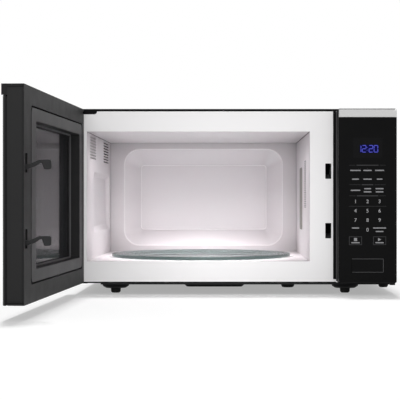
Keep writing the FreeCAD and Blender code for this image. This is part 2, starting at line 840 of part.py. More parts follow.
def base_plate():
    x0 = FRAME_X0
    x1 = FRAME_X1
    y1 = REAR_Y - FIT_GAP
    top = BASE_Z + BASE_FLANGE
    lip_y = YF + CASE_T + FRAME_FLANGE + PAST
    pan = block(x0, x1, YF, y1, BASE_Z, top)
    pan = pan.cut([
        block(x0 + CASE_T, x1 - CASE_T, YF + CASE_T, y1 - CASE_T, BASE_FLOOR, top + PAST),
        block(x0 - PAST, x1 + PAST, YF - PAST, lip_y, BASE_Z + BASE_LIP, top + PAST),
        block(x0 - PAST, x0 + BASE_NOTCH_W, YF - PAST, YF + BASE_NOTCH_D, BASE_Z - PAST, top + PAST),
    ])
    outer = []
    inner = []
    for x, y in foot_places():
        outer.append(stamped(x, y, BOSS_R, BOSS_DRAFT, BOSS_DEPTH))
        inner.append(stamped(x, y, BOSS_R, BOSS_DRAFT, BOSS_DEPTH, CASE_T))
        start = (x, y, BASE_Z - BOSS_DEPTH - PAST)
        inner.append(rod(start, ALONG_Z, FOOT_STEM_R + FIT_GAP, CASE_T + 2 * PAST))
    front = YF + FOOT_INSET_Y
    for inset, radius in DIMPLES:
        outer.append(stamped(CAB_X1 - inset, front, radius, DIMPLE_DRAFT, DIMPLE_DEPTH))
        inner.append(stamped(CAB_X1 - inset, front, radius, DIMPLE_DRAFT, DIMPLE_DEPTH, CASE_T))
    x = CAB_X0 + RIB_X
    rib = (x - RIB_W / 2, x + RIB_W / 2, front - RIB_D / 2, front + RIB_D / 2)
    hollow = grown(rib, -CASE_T)
    low = BASE_Z - RIB_DEPTH
    outer.append(tapered("xy", grown(rib, -RIB_DEPTH), low, RIB_R, rib, BASE_Z, RIB_R))
    inner.append(tapered("xy", grown(hollow, -RIB_DEPTH), low + CASE_T, RIB_R, hollow, BASE_FLOOR, RIB_R))
    start = BAY_X0 + (COMPARTMENT_W - LOUVRE_COLUMNS * LOUVRE_L) / (LOUVRE_COLUMNS + 1)
    for column in range(LOUVRE_COLUMNS):
        x = start + column * (LOUVRE_L + LOUVRE_PITCH)
        for row in range(LOUVRE_ROWS // 2):
            y = CAV_YC - LOUVRE_BACK - row * LOUVRE_PITCH
            inner.append(block(x, x + LOUVRE_L, y, y + LOUVRE_H, BASE_Z - PAST, BASE_FLOOR + PAST))
    return merged([pan] + outer).cut(inner)


def feet():
    low = BASE_Z - BOSS_DEPTH
    neck = low + CASE_T
    top = neck + FOOT_CAP_H
    side = FOOT_R - FOOT_DRAFT
    points = [(0, 0), (side - FOOT_BEVEL, 0), (side, FOOT_BEVEL), (FOOT_R, low), (FOOT_STEM_R, low),
              (FOOT_STEM_R, neck), (FOOT_CAP_R, neck), (FOOT_CAP_TIP_R, top), (0, top)]
    return Part.makeCompound([turned(points, (x, y, 0)) for x, y in foot_places()])


def rear_panel():
    half = CAB_W / 2 - CASE_T - FIT_GAP
    rect = (-half, half, BASE_Z + FIT_GAP, CAB_TOP - CASE_T - FIT_GAP)
    panel = slab("xz", rect, REAR_Y, REAR_Y + CASE_T, CASE_BEND_R - CASE_T)
    cuts = rear_screw_holes()
    starts = (FAN_X - REAR_SLOT_L - REAR_SLOT_GAP / 2, FAN_X + REAR_SLOT_GAP / 2, CAV_X0 + LOUVRE_BACK)
    for row in range(REAR_SLOT_ROWS):
        z = FAN_Z + (row - (REAR_SLOT_ROWS - 1) / 2) * LOUVRE_PITCH
        for x in starts:
            cuts.append(block(x, x + REAR_SLOT_L, REAR_Y - PAST, YB, z, z + LOUVRE_H))
    cuts.append(rod((GLAND_X, REAR_Y - PAST, GLAND_Z), ALONG_Y, GLAND_R + FIT_GAP, CASE_T + 2 * PAST))
    return panel.cut(cuts)


def cord_gland():
    flange = CASE_T + GLAND_FLANGE_T
    nose = flange + GLAND_NOSE_L
    barb = -GLAND_TAIL_L / 2
    points = [(GLAND_BORE_R, -GLAND_TAIL_L), (GLAND_R, -GLAND_TAIL_L), (GLAND_R + GLAND_BARB, barb),
              (GLAND_R, barb), (GLAND_R, CASE_T), (GLAND_FLANGE_R, CASE_T), (GLAND_FLANGE_R, flange),
              (GLAND_R + GLAND_BARB, flange), (GLAND_R, nose), (GLAND_BORE_R, nose)]
    return turned(points, (GLAND_X, REAR_Y, GLAND_Z), ALONG_Y)


def case_screws():
    points = [(0, -SCREW_L), (SCREW_R, -SCREW_L), (SCREW_R, 0), (SCREW_HEAD_R, 0),
              (SCREW_HEAD_R - SCREW_TAPER, SCREW_HEAD_H), (0, SCREW_HEAD_H)]
    y0 = YB + SCREW_HEAD_H / 2
    y1 = YB + SCREW_HEAD_H + PAST
    long = CROSS_L / 2
    thin = CROSS_W / 2
    shapes = []
    for x, z in rear_screw_places():
        cross = [block(x - long, x + long, y0, y1, z - thin, z + thin),
                 block(x - thin, x + thin, y0, y1, z - long, z + long)]
        shapes.append(turned(points, (x, YB, z), ALONG_Y).cut(cross))
    return Part.makeCompound(shapes)


# Front frame and cavity

def latch_slots():
    half = LATCH_SLOT_W / 2
    lows = [z - LATCH_SLOT_DOWN for z in HOOK_ZS]
    return [(HOOK_X - half, HOOK_X + half, low, low + LATCH_SLOT_H) for low in lows]


def leaf_screw_places():
    upper = [(LEAF_X0 + along, UPPER_LEAF_Z + UPPER_SCREW_UP) for along in UPPER_SCREWS]
    lower = [(LEAF_X0 + LOWER_LEAF_W / 2, LOWER_LEAF_Z + up) for up in LOWER_SCREWS]
    return upper + lower


def leaf_screw_holes():
    length = LEAF_T + CASE_T + 2 * PAST
    start = YF - LEAF_T - PAST
    return [rod((x, start, z), ALONG_Y, HINGE_SCREW_R + FIT_GAP, length) for x, z in leaf_screw_places()]


def front_frame():
    y0 = YF - PAST
    y1 = YF + CASE_T
    rect = (FRAME_X0, FRAME_X1, FRAME_Z0, FRAME_Z1)
    works = (PANEL_X0 + WORKS_SIDE, FRAME_X1 - WORKS_EDGE, DOOR_Z0 + WORKS_LOW, BUTTON_HOLE[3] + WORKS_HIGH)
    slit_x1 = PANEL_X0 - PANEL_FLANGE_W
    slit = (slit_x1 - SLIT_W, slit_x1, DOOR_Z0 + SLIT_LOW, DOOR_Z1 - SLIT_HIGH)
    sheet = slab("xz", rect, YF, y1 + FRAME_FLANGE, FRAME_R)
    cuts = [
        slab("xz", grown(rect, -CASE_T), y1, y1 + FRAME_FLANGE + PAST, FRAME_R - CASE_T),
        slab("xz", (CAV_X0, CAV_X1, CAV_Z0, CAV_Z1), y0, y1 + PAST, MOUTH_R),
        slab("xz", works, y0, y1 + PAST, WORKS_R),
        slab("xz", slit, y0, y1 + PAST),
    ]
    cuts += [slab("xz", slot, y0, y1 + PAST, LATCH_SLOT_R) for slot in latch_slots()]
    return sheet.cut(cuts + leaf_screw_holes())


def cavity_floor():
    plate = block(CAV_X0, CAV_X1, CAV_Y0, CAV_Y1 + SHEET, CAV_Z0 - SHEET, CAV_Z0)
    centre = (CAV_XC, CAV_YC, 0)
    low_r = DISH_R - DISH_DRAFT
    under = DISH_Z - SHEET
    over = CAV_Z0 + PAST
    brim = DISH_R + 2 * DISH_EDGE_R
    outer = turned([(0, under), (low_r + SHEET, under, DISH_FLOOR_R + SHEET), (DISH_R + SHEET, CAV_Z0),
                    (0, CAV_Z0)], centre)
    inner = turned([(0, DISH_Z), (low_r, DISH_Z, DISH_FLOOR_R), (DISH_R, CAV_Z0, DISH_EDGE_R),
                    (brim, CAV_Z0), (brim, over), (0, over)], centre)
    hole = rod((CAV_XC, CAV_YC, under - PAST), ALONG_Z, SHAFT_R + SHAFT_HOLE_GAP, SHEET + 2 * PAST)
    return merged([plate, outer]).cut([inner, hole])


def cavity_ceiling():
    return block(CAV_X0, CAV_X1, CAV_Y0, CAV_Y1 + SHEET, CAV_Z1, CAV_Z1 + SHEET)


def cavity_left_wall():
    x0 = CAV_X0 - SHEET
    sheet = block(x0, CAV_X0, CAV_Y0, CAV_Y1 + SHEET, CAV_Z0 - SHEET, CAV_Z1 + SHEET)
    mouth = (YF + SIDE_BULGE_FRONT, CAV_Y1 - SIDE_BULGE_REAR,
             CAV_Z0 + SIDE_BULGE_LOW, CAV_Z1 - SIDE_BULGE_HIGH)
    bed = grown(mouth, -SIDE_BULGE_DEPTH)
    wall = drawn("yz", sheet, mouth, CAV_X0, SIDE_BULGE_R, bed, CAV_X0 - SIDE_BULGE_DEPTH, SIDE_BULGE_R,
                 SIDE_BULGE_EDGE, SIDE_BULGE_EDGE)
    cuts = []
    for row in range(VENT_ROWS):
        z = CAV_Z1 - VENT_TOP - row * VENT_PITCH
        for y in (YF + VENT_FRONT, CAV_Y1 - VENT_REAR - VENT_L):
            cuts.append(block(x0 - PAST, CAV_X0 + PAST, y, y + VENT_L, z - VENT_H / 2, z + VENT_H / 2))
    return wall.cut(cuts)


def cavity_right_wall():
    x1 = CAV_X1 + SHEET
    wall = block(CAV_X1, x1, CAV_Y0, CAV_Y1 + SHEET, CAV_Z0 - SHEET, CAV_Z1 + SHEET)
    cuts = [slab("yz", PORT, CAV_X1 - PAST, x1 + PAST)]
    for column in range(PERF_COLUMNS):
        y = PERF_Y + (column - (PERF_COLUMNS - 1) / 2) * PERF_STEP
        for row in range(PERF_ROWS):
            z = PERF_ZC + (row - (PERF_ROWS - 1) / 2) * PERF_PITCH
            cuts.append(block(CAV_X1 - PAST, x1 + PAST, y - PERF_L / 2, y + PERF_L / 2,
                              z - PERF_H / 2, z + PERF_H / 2))
    return wall.cut(cuts)


def cavity_back_wall():
    sheet = block(CAV_X0, CAV_X1, CAV_Y1, CAV_Y1 + SHEET, CAV_Z0, CAV_Z1)
    mouth = (CAV_XC - BULGE_W / 2, CAV_XC + BULGE_W / 2, CAV_ZC - BULGE_H / 2, CAV_ZC + BULGE_H / 2)
    bed = grown(mouth, -BULGE_SLOPE)
    return drawn("xz", sheet, mouth, CAV_Y1, BULGE_R, bed, CAV_Y1 + BULGE_DEPTH, BULGE_FLOOR_R,
                 BULGE_MOUTH_EDGE, BULGE_BED_EDGE)


def waveguide_cover():
    return slab("yz", grown(PORT, COVER_OVER), CAV_X1 - MICA_T, CAV_X1, COVER_R)


# Hinges

def tongue(z0):
    bar = block(LEAF_X0, HINGE_X + TONGUE_HALF, HINGE_Y, YF - LEAF_T, z0, z0 + TONGUE_T)
    nose = rod((HINGE_X, HINGE_Y, z0), ALONG_Z, TONGUE_HALF, TONGUE_T)
    return merged([bar, nose])


def hinge_bracket(shapes, tongue_z):
    pin_hole = rod((HINGE_X, HINGE_Y, tongue_z - PAST), ALONG_Z, PIN_R + PIN_GAP, TONGUE_T + 2 * PAST)
    return merged(shapes + [tongue(tongue_z)]).cut([pin_hole] + leaf_screw_holes())


def upper_hinge_bracket():
    rect = (LEAF_X0, LEAF_X0 + UPPER_LEAF_W, UPPER_LEAF_Z, FRAME_Z1)
    leaf = slab("xz", rect, YF - LEAF_T, YF, (LEAF_R, UPPER_LEAF_CUT, 0.0, LEAF_R))
    return hinge_bracket([leaf], TONGUE_TOP_Z0)


def lower_hinge_bracket():
    rect = (LEAF_X0, LEAF_X0 + LOWER_LEAF_W, LOWER_LEAF_Z, LOWER_LEAF_Z + LOWER_LEAF_H)
    leaf = slab("xz", rect, YF - LEAF_T, YF, (0.0, 0.0, LEAF_R, LEAF_R))
    foot = block(FRAME_X0, FRAME_X0 + LOWER_FOOT_W, YF - LEAF_T, YF + LOWER_FOOT_D, LOWER_LEAF_Z, FRAME_Z0)
    return hinge_bracket([leaf, foot], TONGUE_LOW_Z0)


def hinge_pins():
    shapes = []
    for start, flange, down in ((TONGUE_TOP_Z1, TONGUE_TOP_Z0, -1), (TONGUE_LOW_Z0, TONGUE_LOW_Z1, 1)):
        along = (0, 0, down)
        pin = rod((HINGE_X, HINGE_Y, start), along, PIN_R, TONGUE_T + PIN_L)
        collar = rod((HINGE_X, HINGE_Y, flange), along, PIN_FLANGE_R, PIN_FLANGE_T)
        shapes.append(merged([pin, collar]))
    return Part.makeCompound(shapes)


def hinge_screws():
    head = LEAF_T + CASE_T
    points = [(0, 0), (HINGE_SCREW_R, 0), (HINGE_SCREW_R, head), (HINGE_SCREW_HEAD_R, head),
              (HINGE_SCREW_HEAD_R, head + HINGE_SCREW_HEAD_H), (0, head + HINGE_SCREW_HEAD_H)]
    return Part.makeCompound([turned(points, (x, YF - LEAF_T, z), ALONG_Y) for x, z in leaf_screw_places()])


def hinge_pockets():
    x1 = HINGE_X + TONGUE_HALF + PAST
    y0 = HINGE_Y - TONGUE_HALF - TONGUE_ROOM
    collar = PIN_FLANGE_T + RUN_GAP
    upper = (TONGUE_TOP_Z0 - collar, TONGUE_TOP_Z1 + RUN_GAP)
    lower = (TONGUE_LOW_Z0 - RUN_GAP, TONGUE_LOW_Z1 + collar)
    spans = (upper, lower)
    return [block(DOOR_X0 - PAST, x1, y0, DOOR_IN + PAST, z0, z1) for z0, z1 in spans]


def bush_spans():
    top = TONGUE_TOP_Z0 - PIN_FLANGE_T - RUN_GAP
    low = TONGUE_LOW_Z1 + PIN_FLANGE_T + RUN_GAP
    return [(top - PIN_L, top), (low, low + PIN_L)]


def hinge_bushes():
    bore = PIN_R + PIN_GAP
    shapes = []
    for z0, z1 in bush_spans():
        shapes.append(turned([(bore, z0), (BUSH_R, z0), (BUSH_R, z1), (bore, z1)], (HINGE_X, HINGE_Y, 0)))
    return as_opened(Part.makeCompound(shapes))


# Door

def relieved(shape):
    x1 = DOOR_X0 + INNER_EDGE_R
    y0 = door_y(INNER_EDGE_R)
    z0 = DOOR_Z0 - PAST
    z1 = DOOR_Z1 + PAST
    edge = block(DOOR_X0 - PAST, x1, y0, DOOR_IN + PAST, z0, z1)
    return shape.cut(edge.cut(rod((x1, y0, z0), ALONG_Z, INNER_EDGE_R, z1 - z0)))


def choke_cover():
    ring = door_slab(DOOR, 0, COVER_T, DOOR_CORNER_R)
    hole = door_slab(SEAL_HOLE, -PAST, COVER_T + COVER_LIP + PAST, SEAL_R)
    lip = door_slab(grown(SEAL_HOLE, WALL), COVER_T - SINK, COVER_T + COVER_LIP, SEAL_R + WALL)
    cuts = [hole] + hinge_pockets()
    for slot in latch_slots():
        wide = (slot[0] - PAST, slot[1] + PAST, slot[2], slot[3])
        cuts.append(door_slab(wide, -PAST, COVER_T + PAST, LATCH_SLOT_R))
    return as_opened(relieved(merged([ring, lip]).cut(cuts)))


def latch_channel():
    half = LATCH_BAR_W / 2 + RUN_GAP
    top = LATCH_Z1 + HOOK_TRAVEL
    sides = (HOOK_X - half - WALL, HOOK_X + half + WALL, LATCH_Z0, top)
    groove = (HOOK_X - half, HOOK_X + half, LATCH_Z0 - PAST, top + PAST)
    walls = door_slab(sides, LATCH_D, FRAME_BACK - WALL)
    return walls.cut(door_slab(groove, LATCH_D - PAST, LATCH_D + LATCH_BAR_D + RUN_GAP))


def door_frame():
    body = door_slab(DOOR, COVER_T, FRAME_BACK, DOOR_CORNER_R)
    inside = door_slab(grown(DOOR, -WALL), COVER_T - PAST, FRAME_BACK - WALL, DOOR_CORNER_R)
    opening = door_slab(grown(WINDOW, SCREEN_LEDGE / 2), COVER_T - PAST, FRAME_BACK + PAST, WINDOW_R)
    pieces = [body.cut([inside, opening]), latch_channel()]
    x1 = HINGE_X + CORNER_BLOCK_W
    tops = (DOOR_Z1 - SINK, DOOR_Z0 + CORNER_BLOCK_H)
    for z1 in tops:
        low = max(z1 - CORNER_BLOCK_H, DOOR_Z0 + SINK)
        pieces.append(block(DOOR_X0 + SINK, x1, door_y(FRAME_BACK - SINK), door_y(COVER_T), low, z1))
    peg_y = door_y(FRAME_BACK - WALL + SINK / 2)
    pieces.append(rod((HOOK_X, peg_y, PEG_Z), ALONG_Y, PEG_R, DOOR_FRAME_D - WALL - PEG_SHORT))
    cuts = hinge_pockets()
    for z0, z1 in bush_spans():
        cuts.append(rod((HINGE_X, HINGE_Y, z0), ALONG_Z, BUSH_R, z1 - z0))
    half = END_GROOVE_W / 2
    for z in (DOOR_Z0 + END_GROOVE_Z, DOOR_Z1 - END_GROOVE_Z):
        cuts.append(block(DOOR_X1 - END_GROOVE_D, DOOR_X1 + PAST, door_y(FRAME_BACK + PAST), door_y(COVER_T),
                          z - half, z + half))
    return as_opened(relieved(merged(pieces).cut(cuts)))


def door_inner_panel():
    back = FRAME_BACK - WALL
    under = door_slab(grown(SEAL, -SHEET), SHEET, back + PAST, SEAL_R - SHEET)
    shell = door_slab(SEAL, 0, back, SEAL_R).cut(under)
    well = door_slab(grown(WINDOW, SHEET), 0, WINDOW_DEPTH + SHEET, WINDOW_R + SHEET)
    hollow = door_slab(WINDOW, -PAST, WINDOW_DEPTH, WINDOW_R)
    light = door_slab(grown(WINDOW, -SCREEN_LEDGE), -PAST, WINDOW_DEPTH + SHEET + PAST, WINDOW_R)
    return as_opened(merged([shell, well]).cut([hollow, light]))


def window_liner():
    outer = door_slab(WINDOW, LINER_IN, WINDOW_DEPTH - INNER_GLASS_T, WINDOW_R)
    return as_opened(outer.cut(door_slab(grown(WINDOW, -LINER_T), -PAST, WINDOW_DEPTH, WINDOW_R - LINER_T)))


def window_trim():
    d1 = WINDOW_DEPTH - INNER_GLASS_T
    rect = grown(WINDOW, -LINER_T)
    outer = door_slab(rect, d1 - TRIM_T, d1, WINDOW_R - LINER_T)
    inner = door_slab(grown(rect, -TRIM_W), d1 - TRIM_T - PAST, d1 + PAST, WINDOW_R - TRIM_W)
    return as_opened(outer.cut(inner))


def door_inner_glass():
    return as_opened(door_slab(grown(WINDOW, -FIT_GAP), WINDOW_DEPTH - INNER_GLASS_T, WINDOW_DEPTH, WINDOW_R))


def door_screen():
    d0 = WINDOW_DEPTH + SHEET
    return as_opened(door_slab(grown(WINDOW, -SCREEN_INSET), d0, d0 + SCREEN_T, WINDOW_R))


def glass_tape():
    rect = grown((DOOR_X0, DOOR_X1, DOOR_Z0, BAND_Z0), -TAPE_INSET)
    outer = door_slab(rect, FRAME_BACK, GLASS_BACK, DOOR_CORNER_R)
    inner = door_slab(grown(rect, -TAPE_W), FRAME_BACK - PAST, GLASS_BACK + PAST, DOOR_CORNER_R)
    return as_opened(outer.cut(inner))


def door_front_glass():
    rect = (DOOR_X0, DOOR_X1, DOOR_Z0, BAND_Z0 - FIT_GAP)
    return as_opened(door_slab(rect, GLASS_BACK, DOOR_T, DOOR_CORNER_R))


def band(x0, x1, corner_r):
    front = PANEL_FACE - BAND_PROUD
    rect = (x0, x1, BAND_Z0, DOOR_Z1)
    bar = slab("xz", rect, front, BAND_BACK, (0.0, 0.0, corner_r, 0.0))
    return bar.makeFillet(BAND_EDGE_R, edges_at(bar, "xz", front, rect))


def door_band():
    return as_opened(band(DOOR_X0, DOOR_X1, 0.0))


# Latch in the door

def hook(z):
    head = HOOK_REACH - HOOK_HEAD_L
    notch = head - HOOK_FALL
    arch = notch - HOOK_NOTCH_L
    belly = (arch + HOOK_IN) / 2
    points = [
        (-HOOK_IN, -HOOK_ROOT),
        (HOOK_FALL, -HOOK_ROOT, HOOK_ROOT),
        (belly, -HOOK_SAG, HOOK_BEND_R),
        (arch, HOOK_NOTCH_Z, HOOK_EDGE_R),
        (notch, HOOK_NOTCH_Z, HOOK_EDGE_R),
        (head, -HOOK_NOSE, HOOK_EDGE_R),
        (HOOK_REACH, -HOOK_NOSE, HOOK_HEAD_R),
        (HOOK_REACH, HOOK_TOP, HOOK_HEAD_R),
        (HOOK_SHOULDER, HOOK_TOP, HOOK_BEND_R),
        (HOOK_WAIST, HOOK_NECK, HOOK_ROOT),
        (-HOOK_IN, HOOK_NECK),
    ]
    return profile("yz", moved(points, DOOR_IN, z), HOOK_X - HOOK_W / 2, HOOK_X + HOOK_W / 2)


def latch_bar():
    half = LATCH_BAR_W / 2
    rect = (HOOK_X - half, HOOK_X + half, LATCH_Z0, LATCH_Z1)
    pieces = [door_slab(rect, LATCH_D, LATCH_D + LATCH_BAR_D, LATCH_BAR_R)]
    for z in HOOK_ZS:
        root = (HOOK_X - HOOK_W / 2, HOOK_X + HOOK_W / 2, z - HOOK_ROOT, z + HOOK_ROOT)
        pieces.append(door_slab(root, HOOK_IN - SINK, LATCH_D + SINK))
        pieces.append(hook(z))
    tang = (HOOK_X - TANG_W / 2, HOOK_X + TANG_W / 2, LATCH_Z0 - TANG_L, LATCH_Z0 + SINK)
    pieces.append(door_slab(tang, LATCH_MID - TANG_T / 2, LATCH_MID + TANG_T / 2))
    return as_opened(merged(pieces))


def folded_strip(length):
    step = length / SPRING_FOLDS
    near = []
    far = []
    for fold in range(SPRING_FOLDS + 1):
        side = SPRING_W / 2 if fold % 2 else -SPRING_W / 2
        if fold in (0, SPRING_FOLDS):
            side = 0.0
        near.append((side - SPRING_T / 2, fold * step))
        far.append((side + SPRING_T / 2, fold * step))
    far.reverse()
    return near + far


def latch_spring():
    points = moved(folded_strip(SPRING_L), HOOK_X, PEG_Z + PEG_R)
    half = SPRING_D / 2
    return as_opened(profile("xz", points, door_y(LATCH_MID + half), door_y(LATCH_MID - half)))


# Control panel

def display_rect():
    z = BAND_Z0 - DISPLAY_DOWN
    return (BUTTON_X - DISPLAY_W / 2, BUTTON_X + DISPLAY_W / 2, z - DISPLAY_H / 2, z + DISPLAY_H / 2)


def board_posts():
    rect = grown(BOARD, -POST_INSET)
    return [(x, z) for x in rect[:2] for z in rect[2:]]


def panel_housing():
    corners = (DOOR_CORNER_R, PANEL_CORNER_R, DOOR_CORNER_R, DOOR_CORNER_R)
    x0 = PANEL_X0 + SINK
    x1 = CAB_X1 - SINK
    seat = BAND_Z0 - FIT_GAP
    shelf = BUTTON_HOLE[3] + WALL
    tab_x1 = CAB_X1 - PANEL_TAB_INSET
    inside = slab("xz", grown(PANEL, -WALL), FASCIA_BACK + WALL, YF + PAST, DOOR_CORNER_R)
    step = block(PANEL_X0 - PAST, CAB_X1 + PAST, FASCIA_BACK - PAST, BAND_BACK, seat, DOOR_Z1 + PAST)
    pieces = [
        slab("xz", PANEL, FASCIA_BACK, YF, corners).cut([inside, step]),
        block(x0, x1, BAND_BACK, YF - WALL, seat - WALL, seat),
        block(x0, x1, BAND_BACK, BAND_BACK + WALL, seat - WALL, DOOR_Z1 - SINK),
        block(PANEL_X0 - PANEL_FLANGE_W, x0, YF - PANEL_FLANGE_T, YF, DOOR_Z0 + PANEL_FLANGE_END,
              DOOR_Z1 - PANEL_FLANGE_END),
        block(x0, x1, WEB_Y0, YF - WEB_BACK, BUTTON_HOLE[2] - WALL, shelf),
        block(x0, x1, FASCIA_BACK + SINK, YF - WEB_BACK, shelf, shelf + WALL),
        block(tab_x1 - PANEL_TAB_W, tab_x1, FASCIA_BACK, FASCIA_BACK + WALL, PANEL[2] - PANEL_TAB_H,
              PANEL[2] + PANEL_CORNER_R),
    ]
    for x, z in board_posts():
        pieces.append(rod((x, FASCIA_BACK + SINK, z), ALONG_Y, POST_R, BOARD_BACK - SINK))
    cuts = [
        slab("xz", BUTTON_HOLE, FASCIA_BACK - PAST, FASCIA_BACK + WALL + PAST, BUTTON_R),
        slab("xz", grown(STEM, RUN_GAP), WEB_Y0 - PAST, YF),
        slab("xz", grown(display_rect(), FIT_GAP), FASCIA_BACK - PAST, FASCIA_BACK + WALL + PAST),
    ]
    return merged(pieces).cut(cuts)


def panel_fascia():
    rect = (PANEL_X0, CAB_X1, PANEL[2], BAND_Z0 - FIT_GAP)
    plate = slab("xz", rect, PANEL_FACE, FASCIA_BACK, (DOOR_CORNER_R, PANEL_CORNER_R, 0.0, 0.0))
    return plate.cut(slab("xz", BUTTON_HOLE, PANEL_FACE - PAST, FASCIA_BACK + PAST, BUTTON_R))


def panel_band():
    return band(PANEL_X0, CAB_X1, BAND_CORNER_R)


def display_module():
    return slab("xz", display_rect(), FASCIA_BACK, FASCIA_BACK + BOARD_BACK)


def control_board():
    y0 = FASCIA_BACK + BOARD_BACK
    y1 = y0 + BOARD_T
    pieces = [slab("xz", BOARD, y0, y1)]
    x0 = BOARD[0] + CHIP_SIDE
    for number, (width, height, depth) in enumerate(CHIPS):
        z0 = BOARD[2] + CHIP_LOW + number * CHIP_STEP
        pieces.append(block(x0, x0 + width, y1 - FIT_GAP, y1 + depth, z0, z0 + height))
    return merged(pieces)


def open_button():
    cap = slab("xz", grown(BUTTON_HOLE, -BUTTON_GAP), PANEL_FACE - BUTTON_PROUD, BUTTON_BACK, BUTTON_R)
    bar = slab("xz", STEM, BUTTON_BACK - SINK, STEM_TIP)
    peg = rod((BUTTON_X - STEM_OFF, BUTTON_BACK - SINK, BUTTON_Z), ALONG_Y, BUTTON_PEG_R, BUTTON_PEG_L + SINK)
    ramp = [(STEM_TIP - STEM_H, STEM[3]), (STEM_TIP + PAST, STEM[3]), (STEM_TIP + PAST, STEM[2] - PAST)]
    return merged([cap, bar, peg]).cut(profile("yz", ramp, STEM[0] - PAST, STEM[1] + PAST))


def button_spring():
    y0 = BUTTON_BACK + BUTTON_PEG_L
    points = [(y0 + along, BUTTON_Z + side) for side, along in folded_strip(WEB_Y0 - y0)]
    x = BUTTON_X - STEM_OFF
    return profile("yz", points, x - SPRING_D / 2, x + SPRING_D / 2)


# Latch board and release

def strike(z):
    low = z - STRIKE_LOW
    points = [(YF + STRIKE_Y0, low), (YF + STRIKE_Y1, low), (YF + STRIKE_Y1, z - STRIKE_TOP),
              (YF + STRIKE_CREST, z - STRIKE_TOP), (YF + STRIKE_Y0, z - STRIKE_RAMP)]
    return profile("yz", points, BOARD_X - SINK, HOOK_X + HOOK_W)


def latch_board():
    y0 = YF + CASE_T
    z0 = HOOK_ZS[1] - HOOK_NOSE - BOARD_UNDER
    z1 = HOOK_ZS[0] + BOARD_OVER
    x0 = BOARD_X - BOARD_WALL_T
    x1 = HOOK_X + LATCH_SLOT_W
    upper, lower = BOARD_TAB_H
    pieces = [
        block(x0, BOARD_X, y0, YF + BOARD_DEPTH, z0, z1),
        block(x0, x1, y0, y0 + BOARD_TAB_T, z1 - upper, z1),
        block(x0, x1, y0, y0 + BOARD_TAB_T, z0, z0 + lower),
    ]
    pieces += [strike(z) for z in HOOK_ZS]
    middle = (HOOK_ZS[0] + HOOK_ZS[1]) / 2
    far = RELEASE_X + BAR_T
    near = YF + LIFT_Y0
    back = YF + LIFT_Y1
    pieces.append(block(BOARD_X - SINK, far + GUIDE_WALL, near - GUIDE_WALL, back + GUIDE_WALL,
                        middle - GUIDE_HALF, middle + GUIDE_HALF))
    slot = block(RELEASE_X - RUN_GAP, far + RUN_GAP, near - RUN_GAP, back + RUN_GAP,
                 middle - GUIDE_HALF - PAST, middle + GUIDE_HALF + PAST)
    return merged(pieces).cut(slot)


def interlock_switches():
    y0 = DOOR_IN + HOOK_REACH + SWITCH_GAP
    y1 = y0 + SWITCH_D
    x = BOARD_X + SWITCH_W / 2
    half = PLUNGER_W / 2
    thin = SWITCH_TAB_T / 2
    lows = [z - SWITCH_DOWN for z in HOOK_ZS]
    lows.append(lows[1] + SWITCH_STEP)
    shapes = []
    for z in lows:
        up = z + PLUNGER_UP
        pieces = [block(BOARD_X, BOARD_X + SWITCH_W, y0, y1, z, z + SWITCH_H),
                  block(x - half, x + half, y0 - PLUNGER_L, y0 + SINK, up, up + PLUNGER_H)]
        for tab in SWITCH_TABS:
            low = z + tab
            pieces.append(block(x - thin, x + thin, y1 - SINK, y1 + SWITCH_TAB_L, low, low + SWITCH_TAB_H))
        shapes.append(merged(pieces))
    return Part.makeCompound(shapes)


def release_bar():
    y0 = YF + LIFT_Y0
    y1 = YF + LIFT_Y1
    foot_z = BUTTON_Z + STEM_H
    tops = [z - HOOK_NOSE - RUN_GAP for z in HOOK_ZS]
    pieces = [block(RELEASE_X, RELEASE_X + BAR_T, y0, y1, foot_z, tops[0]),
              block(RELEASE_X, STEM[1], y0, y1, BUTTON_Z, foot_z + STEM_H)]
    for top in tops:
        pieces.append(block(HOOK_X - HOOK_W / 2, RELEASE_X + SINK, y0, y1, top - LUG_H, top))
    start = STEM_TIP - STEM_H
    crest = STEM[3] + RUN_GAP * math.sqrt(2)
    ramp = [(start - RAMP_REACH, crest + RAMP_REACH), (start - RAMP_REACH, STEM[2] - RAMP_REACH),
            (start + RAMP_REACH, crest - RAMP_REACH)]
    return merged(pieces).cut(profile("yz", ramp, RELEASE_X - PAST, STEM[1] + PAST))


# Turntable

def round_the_table(shape, arm, turn=0.0):
    return about_z(shape, CAV_XC, CAV_YC, arm * 360 / ARMS + turn)


def glass_tray():
    bed = TRAY_Z + TRAY_T
    top = bed + TRAY_RISE
    points = [(0, TRAY_Z), (TRAY_FLAT_R, TRAY_Z, TRAY_BEND_R), (TRAY_R, top - RIM_H, RIM_EDGE_R),
              (TRAY_R, top, RIM_EDGE_R), (TRAY_R - RIM_W, top, RIM_INNER_R),
              (TRAY_FLAT_R, bed, TRAY_BEND_R), (0, bed)]
    pieces = [turned(points, (CAV_XC, CAV_YC, 0))]
    half = TRAY_LUG_W / 2
    lug = block(CAV_XC + COUPLER_HUB_R + TRAY_LUG_START, CAV_XC + COUPLER_ARM_R + TRAY_LUG_END,
                CAV_YC - half, CAV_YC + half, TRAY_Z - TRAY_LUG_H, TRAY_Z + SINK)
    pieces += [round_the_table(lug, arm, 180 / ARMS) for arm in range(ARMS)]
    return merged(pieces)


